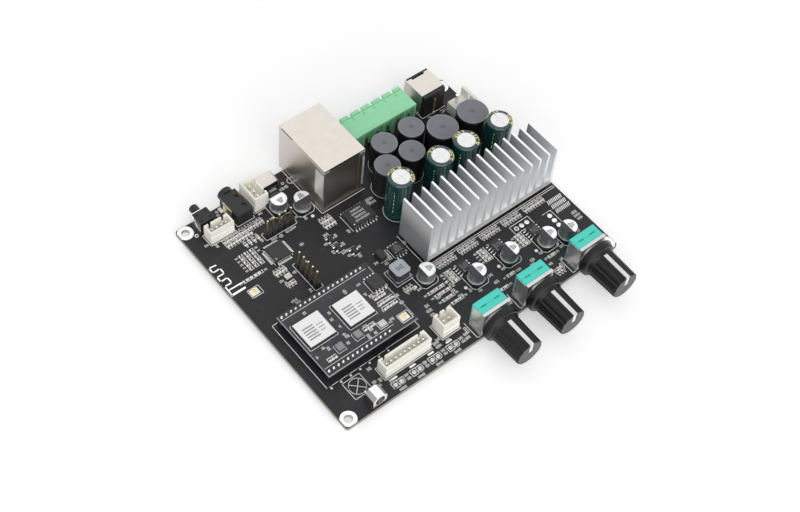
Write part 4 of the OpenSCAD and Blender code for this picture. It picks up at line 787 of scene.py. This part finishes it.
for node in (*HEADERS, "pin_header_bases", "can_capacitors", "chips"):
    for lo, hi in solids(node):
        for at in ((lo.x - 1.7, lo.y + 0.8), (hi.x + 1.8, hi.y - 0.8), (lo.x + 1.2, lo.y - 1.5)):
            if is_free(Vector(at), 0.9):
                strokes(marks, at, 4, along=dice.choice(ALONG), tall=1.1)
for x, y, count in MARK_ROWS:
    if is_free(spot(x, y), 0.2):
        strokes(marks, spot(x, y), count, tall=1.2)
piece("part_marks", marks, inks["white"])

# %% [markdown]
# ## Vias
# Small plated holes, covered by the lacquer, join the copper on the two faces. They show as faint
# round bumps. They are scattered on free places only, from a fixed seed.

# %% Vias
VIA_COUNT, VIA_IN, VIA_OUT, VIA_HIGH, VIA_MARGIN, VIA_CLEAR = 150, 0.14, 0.34, 0.03, 2, 0.7
vias = bmesh.new()
made = 0
while made < VIA_COUNT:
    at = spot(dice.uniform(VIA_MARGIN, WIDE - VIA_MARGIN), dice.uniform(VIA_MARGIN, DEEP - VIA_MARGIN))
    if is_free(at, VIA_CLEAR):
        ring(vias, at, VIA_IN, VIA_OUT, TOP - SUNK, TOP + VIA_HIGH, steps=10)
        made += 1
piece("vias", vias, finishes["pcb"])

# %% [markdown]
# ## Bulk capacitors
# The sleeve leaves the pressed aluminium top bare. Two shallow scores cross on it, so that the can
# opens there if it ever bursts. A thin broken line of gold ink runs down the sleeve, and two arcs
# of gold dashes follow the rolled shoulder. The dashes are spun from sections that bend with it.

# %% Capacitor tops and sleeve print
bare_aluminium = plated("bare_aluminium", (0.68, 0.69, 0.69), rough=0.42, drift=0.02, depth=0.001)
CAP_R, CAP_TOP, SHOULDER, TOP_DISC_R, DISH, SCORED = 5.0, 21.6, 0.9, 3.45, 0.15, 0.07
INK_IN, INK_OUT, ARC, LINE_FROM, LINE_CLEAR, LINE_AT = 0.03, 0.015, 76, 4.6, 3.4, 206
tops, sleeve_print = bmesh.new(), bmesh.new()


def dash(*degrees):
    """Section of a dash on the rolled shoulder, between the angles given."""
    roll = [math.radians(a) for a in degrees]
    return [(CAP_R - SHOULDER + rho * math.cos(a), CAP_TOP - SHOULDER + rho * math.sin(a))
            for rho, order in ((SHOULDER + INK_OUT, roll), (SHOULDER - INK_IN, roll[::-1]))
            for a in order]


UPPER, LOWER = dash(42, 58, 74), dash(14, 26, 36)
for corners in solids("bulk_capacitors"):
    at, dished = middle(corners), CAP_TOP - DISH
    disc(tops, at, dished - 0.01, dished + 0.02, TOP_DISC_R, steps=48)
    for i in range(4):
        ring(tops, at, 0.25, TOP_DISC_R - 0.1, dished, dished + SCORED, start=i * 90 + 4, sweep=82,
             steps=12)
    for first, section in ((50, UPPER), (62, LOWER), (-75, UPPER), (-62, LOWER)):
        last = dice.uniform(0, 12)
        while last < ARC:
            sweep = dice.choice((5, 8, 13, 20))
            spun(sleeve_print, at, section, start=first + last, sweep=sweep, steps=3)
            if sweep > 10:
                ring(sleeve_print, at, TOP_DISC_R + 0.12, CAP_R - SHOULDER, CAP_TOP - 0.002, CAP_TOP + 0.012,
                     start=first + last, sweep=sweep * 0.8, steps=3)
            last += sweep + dice.uniform(3, 9)
    low = TOP + LINE_FROM
    while low < CAP_TOP - LINE_CLEAR:
        tall = dice.choice((0.5, 0.9, 1.6))
        ring(sleeve_print, at, CAP_R - INK_IN, CAP_R + INK_OUT, low, low + tall,
             start=LINE_AT + dice.uniform(-1, 1), sweep=dice.choice((2, 3, 4)), steps=2)
        low += tall + 0.9
piece("capacitor_tops", tops, bare_aluminium)
piece("sleeve_print", sleeve_print, inks["gold"])

# %% [markdown]
# ## Drum inductors
# A drum is a ferrite core in a black shrunk sleeve. The sleeve ends at the rim, and the bare grey
# ferrite shows on top, with a small moulding dimple in the middle. A paler ring at the sleeve's
# edge is a painted highlight.

# %% Ferrite tops
bare_ferrite = moulded("bare_ferrite", (0.21, 0.215, 0.24), rough=0.55, drift=0.1, grain=4,
                       depth=0.02, edge=0.1)
RIM_IN, DIMPLE_R, SET_IN, LIP, FERRITE_HIGH = 0.42, 0.9, 0.002, 0.01, 0.03
drums, dimples, rim_highlights = bmesh.new(), bmesh.new(), bmesh.new()
for node in ("small_inductors", "large_inductors"):
    for lo, hi in solids(node):
        at, radius, level = middle((lo, hi)), (hi.x - lo.x) / 2 - RIM_IN, hi.z
        face = [(DIMPLE_R, level - SET_IN), (radius, level - SET_IN), (radius, level + LIP),
                (radius - 0.06, level + FERRITE_HIGH), (DIMPLE_R + 0.2, level + FERRITE_HIGH),
                (DIMPLE_R, level + LIP)]
        spun(drums, at, face, steps=48)
        disc(dimples, at, level - SET_IN, level + 0.012, DIMPLE_R + 0.02)
        # A paler ring on the sleeve's edge: a painted highlight.
        ring(rim_highlights, at, radius - 0.02, radius + 0.16, level - 0.2, level + 0.025, steps=48)
piece("ferrite_tops", drums, bare_ferrite)
piece("ferrite_dimples", dimples, moulded("dimple_ferrite", (0.15, 0.15, 0.17), rough=0.5))
piece("ferrite_rim_highlights", rim_highlights, moulded("rim_highlight_ferrite", (0.4, 0.4, 0.43), rough=0.4, edge=0.05))

# %% [markdown]
# ## Can capacitors
# The negative side of each aluminium can is a dark half-moon on its top, printed over the rolled
# edge. The moon is a plate spun from a section with that roll, cut by a plane and closed again. A
# few dark strokes stand on the bare side, and the curled hem of the can shows above its base.


# %% Half-moons and strokes on the cans
def half_moon(bm, at, section, cut, toward):
    """A spun plate, cut straight across at a distance from its middle and kept on one side."""
    before = set(bm.verts)
    spun(bm, at, section, steps=40)
    geom = {part for vert in set(bm.verts) - before
            for part in (vert, *vert.link_edges, *vert.link_faces)}
    plane = Vector((at[0], at[1], 0)) + Vector((*toward, 0)) * cut
    made = bmesh.ops.bisect_plane(bm, geom=list(geom), plane_co=plane, plane_no=(*toward, 0),
                                  clear_inner=True)["geom_cut"]
    bmesh.ops.holes_fill(bm, edges=[part for part in made if isinstance(part, bmesh.types.BMEdge)])


MOON_PROUD, CAN_ROLL, CAN_DISH, WIDE_MOON, SLIM_MOON = 0.015, 0.3, 0.05, 0.35, 1.7
moons, can_strokes, curls = bmesh.new(), bmesh.new(), bmesh.new()
cans = solids("can_capacitors")
moon_sides = [(0, 1), (0, -1)] + [(-1, 0)] * (len(cans) - 2)
moon_cuts = [SLIM_MOON, WIDE_MOON, SLIM_MOON] + [WIDE_MOON] * (len(cans) - 3)
for corners, toward, moon_cut in zip(cans, moon_sides, moon_cuts):
    at, level = middle(corners), corners[1].z - CAN_DISH
    radius, foot = (corners[1].x - corners[0].x) / 2, corners[0].z
    edge, roll_z, roll_r = radius - CAN_ROLL, corners[1].z - CAN_ROLL, CAN_ROLL + MOON_PROUD
    roll = [(edge + roll_r * math.cos(a), roll_z + roll_r * math.sin(a))
            for a in (0, math.pi / 6, math.pi / 3, math.pi / 2)]
    half_moon(moons, at, [(0.1, roll_z), *roll, (0.1, roll[-1][1])], moon_cut, toward)
    curl = [(radius - 0.1, foot), (radius + 0.12, foot), (radius + 0.16, foot + 0.12),
            (radius + 0.1, foot + 0.24), (radius - 0.1, foot + 0.3)]
    spun(curls, at, curl, steps=40)
    away, along = -Vector(toward), Vector((-toward[1], toward[0]))
    for row in range(3):
        strokes(can_strokes, at.xy + away * (0.3 + row * 0.75), 5 - row, along, 0.6, level, step=0.5,
                width=0.26)
piece("can_curls", curls, bare_aluminium)
piece("can_moons", moons, inks["dark"])
piece("can_strokes", can_strokes, inks["dark"])

# %% [markdown]
# ## Chip tops, labels and lids
# Chips are lasered, which leaves pale grey strokes and a dot at the first lead. The two paper labels
# on the module carry plain bars. The lamp and the crystal have pale lids, and the module's two coils
# have grey ones, each a block with its edges bevelled. Strokes mark the shielded inductor's top.

# %% Chip strokes, label bars, pale lids
LEAST_MARKED, MARK_HIGH, BAR_HIGH = 3, 0.015, 0.02
LAMP_CHIP, DOTTED_CHIP, BRIGHT_CHIP, CRYSTAL, COILS = 0, 1, 6, 4, slice(1, 3)
chip_marks, bright_marks = bmesh.new(), bmesh.new()
on_board, on_module = solids("chips"), solids("module_chips")
for lo, hi in on_board[2:] + solids("amplifier_chips"):
    size = hi - lo
    if min(size.xy) < LEAST_MARKED:
        continue
    ink = bright_marks if (lo, hi) == on_board[BRIGHT_CHIP] else chip_marks
    along = Vector((1, 0)) if size.x >= size.y else Vector((0, 1))
    across = Vector((-along.y, along.x))
    at = middle((lo, hi)).xy
    for row in (-1.5, -0.5, 0.5, 1.5):
        count = int(max(size.xy) * dice.uniform(0.9, 1.4))
        strokes(ink, at + across * row * min(size.xy) * 0.2, count, along, min(size.xy) * 0.12, hi.z,
                step=0.45, width=0.15)
    disc(ink, lo.xy + Vector((0.7, 0.7)), hi.z - SUNK, hi.z + MARK_HIGH, 0.28, steps=16)
lo, hi = on_board[DOTTED_CHIP]
disc(chip_marks, lo.xy + Vector((0.9, 0.9)), hi.z - SUNK, hi.z + MARK_HIGH, 0.4)
piece("chip_strokes", chip_marks, inks["grey"])
piece("bright_strokes", bright_marks, inks["white"])

bars = bmesh.new()
for lo, hi in solids("module_labels"):
    for i in range(5):
        y = lo.y + 2.4 + i * 1.15
        bar(bars, (lo.x + 1.7, y), (lo.x + 5.6, y), 0.55, hi.z - SUNK, hi.z + BAR_HIGH)
    for i in range(3):
        y = lo.y + 3.4 + i * 1.3
        bar(bars, (lo.x + 6.9, y), (lo.x + 8.6 + 0.3 * i, y), 0.35, hi.z - SUNK, hi.z + BAR_HIGH)
piece("label_bars", bars, inks["grey"])

pale_lid = moulded("pale_lid", (0.72, 0.7, 0.64), rough=0.35, drift=0.05, edge=0.08)


def lid(bm, lo, hi, offset):
    """A cap over a small part, with its edges rounded."""
    verts = block(bm, lo - Vector((0.02, 0.02, 0)), hi + Vector((0.02, 0.02, 0.05)))
    edges = list({edge for vert in verts for edge in vert.link_edges})
    bmesh.ops.bevel(bm, geom=edges, offset=offset, offset_type="OFFSET", segments=2, profile=0.5,
                    affect="EDGES", material=-1)


pale, grey, coil_spread = bmesh.new(), bmesh.new(), Vector((0.25, 0.25, 0))
for corners in (on_board[LAMP_CHIP], on_module[CRYSTAL]):
    lid(pale, *corners, 0.12)
for lo, hi in on_module[COILS]:
    lid(grey, lo - coil_spread, hi + coil_spread, 0.45)
piece("pale_lids", pale, pale_lid)
piece("coil_lids", grey, finishes["coil_lid"])
coil_marks = bmesh.new()
lo, hi = solids("power_inductor")[0]
strokes(coil_marks, middle((lo, hi)), 4, (1, 0), 2.0, hi.z, step=0.75, width=0.28)
piece("coil_marks", coil_marks, inks["dark"])

# %% [markdown]
# ## Receiver legs, post tips and the jack's back edge
# The infrared receiver is one solid with its three legs, which on the real part are tinned: a sleeve
# of metal covers each one. A pin header's posts are gilded wire; their gold is darker, painted
# shade, and a cap of pale gold on each tip is a painted highlight. Along the back edge of the power
# jack its black housing shows past the bent shell. The network jack's shell is closed by folded
# straps, drawn as thin patches of a brighter tin than the shell, a painted highlight, and it has dark
# slits under its lid.

# %% Legs, tips, straps and slits
LEG_X, LEG_PITCH, LEG_HALF, LEG_T = 14.3, 1.8, 0.27, 0.44
LEG_OUT, LEG_BEND, LEG_TOP = 5.22, 6.62, TOP + 2.62
legs, tips, rim = bmesh.new(), bmesh.new(), bmesh.new()
for i in (-1, 0, 1):
    left, right = (LEG_X + i * LEG_PITCH + s * LEG_HALF for s in (-1, 1))
    block(legs, (*spot(left, LEG_OUT), LEG_TOP - LEG_T), (*spot(right, LEG_BEND), LEG_TOP))
    block(legs, (*spot(left, LEG_BEND - LEG_T), TOP), (*spot(right, LEG_BEND), LEG_TOP - 0.2))
piece("receiver_legs", legs, finishes["tin"])
tip_in = Vector((0.08, 0.08, 0))
# Each post's tip gets the pale gold: a painted highlight on the same gilded wire.
for lo, hi in solids("pin_header_posts"):
    block(tips, Vector((*lo.xy, hi.z - SET_IN)) + tip_in, Vector((*hi.xy, hi.z + 0.03)) - tip_in)
piece("post_tip_highlights", tips, finishes["pale_gold"])

shell, housing = solids("power_jack_shell")[0][1], solids("power_jack_housing")[0]
block(rim, (housing[0].x, shell.y - 0.85, shell.z - SET_IN), (housing[1].x, shell.y - 0.02, shell.z + 0.02))
STRAP_T, STRAP_W, STRAP_LOW, STRAP_HIGH, SKIN = 0.15, 4.8, TOP + 7.0, TOP + 20.1, 0.012
SLITS = ((-3.95, 2.6), (0, 0.7), (3.95, 2.6))
lo, hi = solids("network_jack_shell")[0]
front, left, mid = lo.y + STRAP_T, lo.x + STRAP_T, middle((lo, hi)).x
# The straps are thin patches of a brighter tin than the shell: a painted highlight.
straps = bmesh.new()
block(straps, (lo.x - SKIN, front, STRAP_LOW), (lo.x + SKIN, front + STRAP_W, STRAP_HIGH))
block(straps, (hi.x - 1.0, lo.y - SKIN, TOP + 3), (hi.x - STRAP_T, lo.y + SKIN, TOP + 19))
for x, half in SLITS:
    block(rim, (mid + x - half, front - SKIN, hi.z - 0.95), (mid + x + half, front + SKIN, hi.z - 0.12))
block(rim, (left - SKIN, hi.y - 8.0, hi.z - 0.85), (left + SKIN, hi.y - 1.4, hi.z - 0.15))
piece("jack_strap_highlights", straps, plated("strap_highlight_tin", (0.86, 0.84, 0.8), rough=0.5, metal=0.8))
piece("dark_edges", rim, finishes["black_plastic"])

# %% [markdown]
# ## Module print
# The module carries its own fine white print: a line along each row of solder points and frames
# round its chips. It is drawn in the same way, one level up.

# %% Module print
FINE_W = 0.16
MODULE_ROWS = (
    (14.0, 41.6, 3), (19.8, 34.0, 3), (20.4, 30.2, 2), (19.6, 26.6, 4), (35.4, 35.2, 3), (36.0, 39.8, 4),
    (30.4, 40.2, 5), (10.6, 26.8, 3), (18.6, 23.4, 3), (36.4, 22.0, 4), (28.6, 21.0, 3), (6.8, 25.0, 2),
    (19.9, 25.6, 4), (27.2, 25.2, 4), (28.1, 22.9, 4), (25.8, 21.2, 5), (35.3, 21.4, 3), (10.4, 22.0, 5),
    (12.0, 25.6, 4), (36.6, 33.6, 4), (36.4, 28.8, 3), (36.6, 26.4, 4), (43.6, 28.4, 5), (43.4, 25.2, 4),
    (20.8, 36.6, 3), (38.0, 32.6, 6))
module_lines = bmesh.new()
lo, hi = solids("module_board")[0]
line(module_lines, [(lo.x + 0.5, lo.y + 3.0), (hi.x - 8.5, lo.y + 3.0)], FINE_W, hi.z)
line(module_lines, [(lo.x + 0.5, hi.y - 2.4), (hi.x - 2.0, hi.y - 2.4)], FINE_W, hi.z)
line(module_lines, [(hi.x - 0.5, hi.y - 2.4), (hi.x - 0.5, lo.y + 2.0)], FINE_W, hi.z)
for corners in on_module:
    framed(module_lines, corners, 0.4, level=hi.z)
for x, y, count in MODULE_ROWS:
    strokes(module_lines, spot(x, y), count, dice.choice(ALONG), 1.1, hi.z)
piece("module_print", module_lines, inks["white"])

# %% [markdown]
# ## Knob pointers
# A white line is moulded into each knob, along the grip and over its end. The knob's solid has the
# groove, and the white plastic fills it almost to the surface. It turns with its knob.

# %% Knob pointers
pointer_white = moulded("pointer_white", (0.82, 0.82, 0.82), rough=0.4, drift=0.04)
HALF_W, GROOVE_R, GRIP_START, GRIP_R, SHY = 0.78, 5.23, 4.65, 5.78, 0.02
END_R, END_LEN, END_T = 5.5, 4.75, 0.26
for i in (1, 2, 3):
    lo, hi = solids("knob_%d" % i)[0]
    axis = middle((lo, hi))
    pointer = bmesh.new()
    verts = block(pointer, (axis.x - HALF_W, lo.y + SHY, axis.z + GROOVE_R),
                  (axis.x + HALF_W, hi.y - GRIP_START, axis.z + GRIP_R - SHY))
    for vert in verts:
        if vert.co.z > axis.z + END_R and vert.co.y < lo.y + 1:
            vert.co.z = axis.z + END_R - SHY
    block(pointer, (axis.x - HALF_W, lo.y + SHY, axis.z + END_R - END_LEN),
          (axis.x + HALF_W, lo.y + END_T, axis.z + GROOVE_R + SHY))
    piece("knob_pointer_%d" % i, pointer, pointer_white, "control_%d" % i)

# %% [markdown]
# ## Studio
# The photograph has a white sweep and soft light from all round. The floor is pale and catches
# the shadow; for rays that come straight from the camera, or from a mirror-like metal, the floor
# and the sky add a glow that brings them to white, so no extra light falls on the board.


# %% Floor, sky and lamps
def glow(tree, strength_seen, strength_else):
    """Strength of a glow that the camera and shiny surfaces see differently."""
    path = tree.nodes.new("ShaderNodeLightPath")
    straight, mirrored, through = (Wire(tree, path.outputs["Is %s Ray" % kind])
                                   for kind in ("Camera", "Glossy", "Transmission"))
    seen = straight + mirrored + through
    seen = seen.math("MINIMUM", seen, 1.0)
    return seen * strength_seen + (1 - seen) * strength_else


FLOOR_GLOW, SKY_SEEN, SKY_LIGHT, FLOOR_HALF, FLOOR_GAP = 0.36, 1.0, 0.4, 6, 0.02 * MM
floor_finish = Finish("floor")
pale_grey = floor_finish.mix(floor_finish.noise(0.01, 2.0), (0.8, 0.8, 0.8), (0.82, 0.82, 0.82))
floor_finish.set(Base_Color=pale_grey, Roughness=0.9, Emission_Color=(1, 1, 1),
                 Emission_Strength=glow(floor_finish.tree, FLOOR_GLOW, 0.0))
sweep = bmesh.new()
bmesh.ops.create_grid(sweep, x_segments=4, y_segments=4, size=FLOOR_HALF)
bmesh.ops.translate(sweep, verts=sweep.verts, vec=(0, 0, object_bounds()[0].z - FLOOR_GAP))
floor_mesh = bpy.data.meshes.new("floor")
sweep.to_mesh(floor_mesh)
sweep.free()
floor_mesh.materials.append(floor_finish.material)
floor = bpy.data.objects.new("floor", floor_mesh)
bpy.context.scene.collection.objects.link(floor)

world = bpy.data.worlds.new("studio")
world.use_nodes = True
bpy.context.scene.world = world
sky = world.node_tree.nodes["Background"]
sky.inputs["Color"].default_value = (1, 1, 1, 1)
connect(world.node_tree, sky.inputs["Strength"], glow(world.node_tree, SKY_SEEN, SKY_LIGHT))
bpy.context.scene.view_settings.view_transform = "Standard"

LAMPS = {
    "key": ((-0.5, -0.85, 0.62), 1.5, 12.5),
    "top": ((0.25, 0.5, 1.0), 1.6, 2.6),
}
for name, (at, size, watts) in LAMPS.items():
    data = bpy.data.lights.new(name, "AREA")
    data.size, data.energy = size, watts
    lamp = bpy.data.objects.new(name, data)
    aim = (-Vector(at)).to_track_quat("-Z", "Y").to_matrix().to_4x4()
    lamp.matrix_world = Matrix.Translation(at) @ aim
    bpy.context.scene.collection.objects.link(lamp)
print("lamps:", ", ".join(LAMPS))
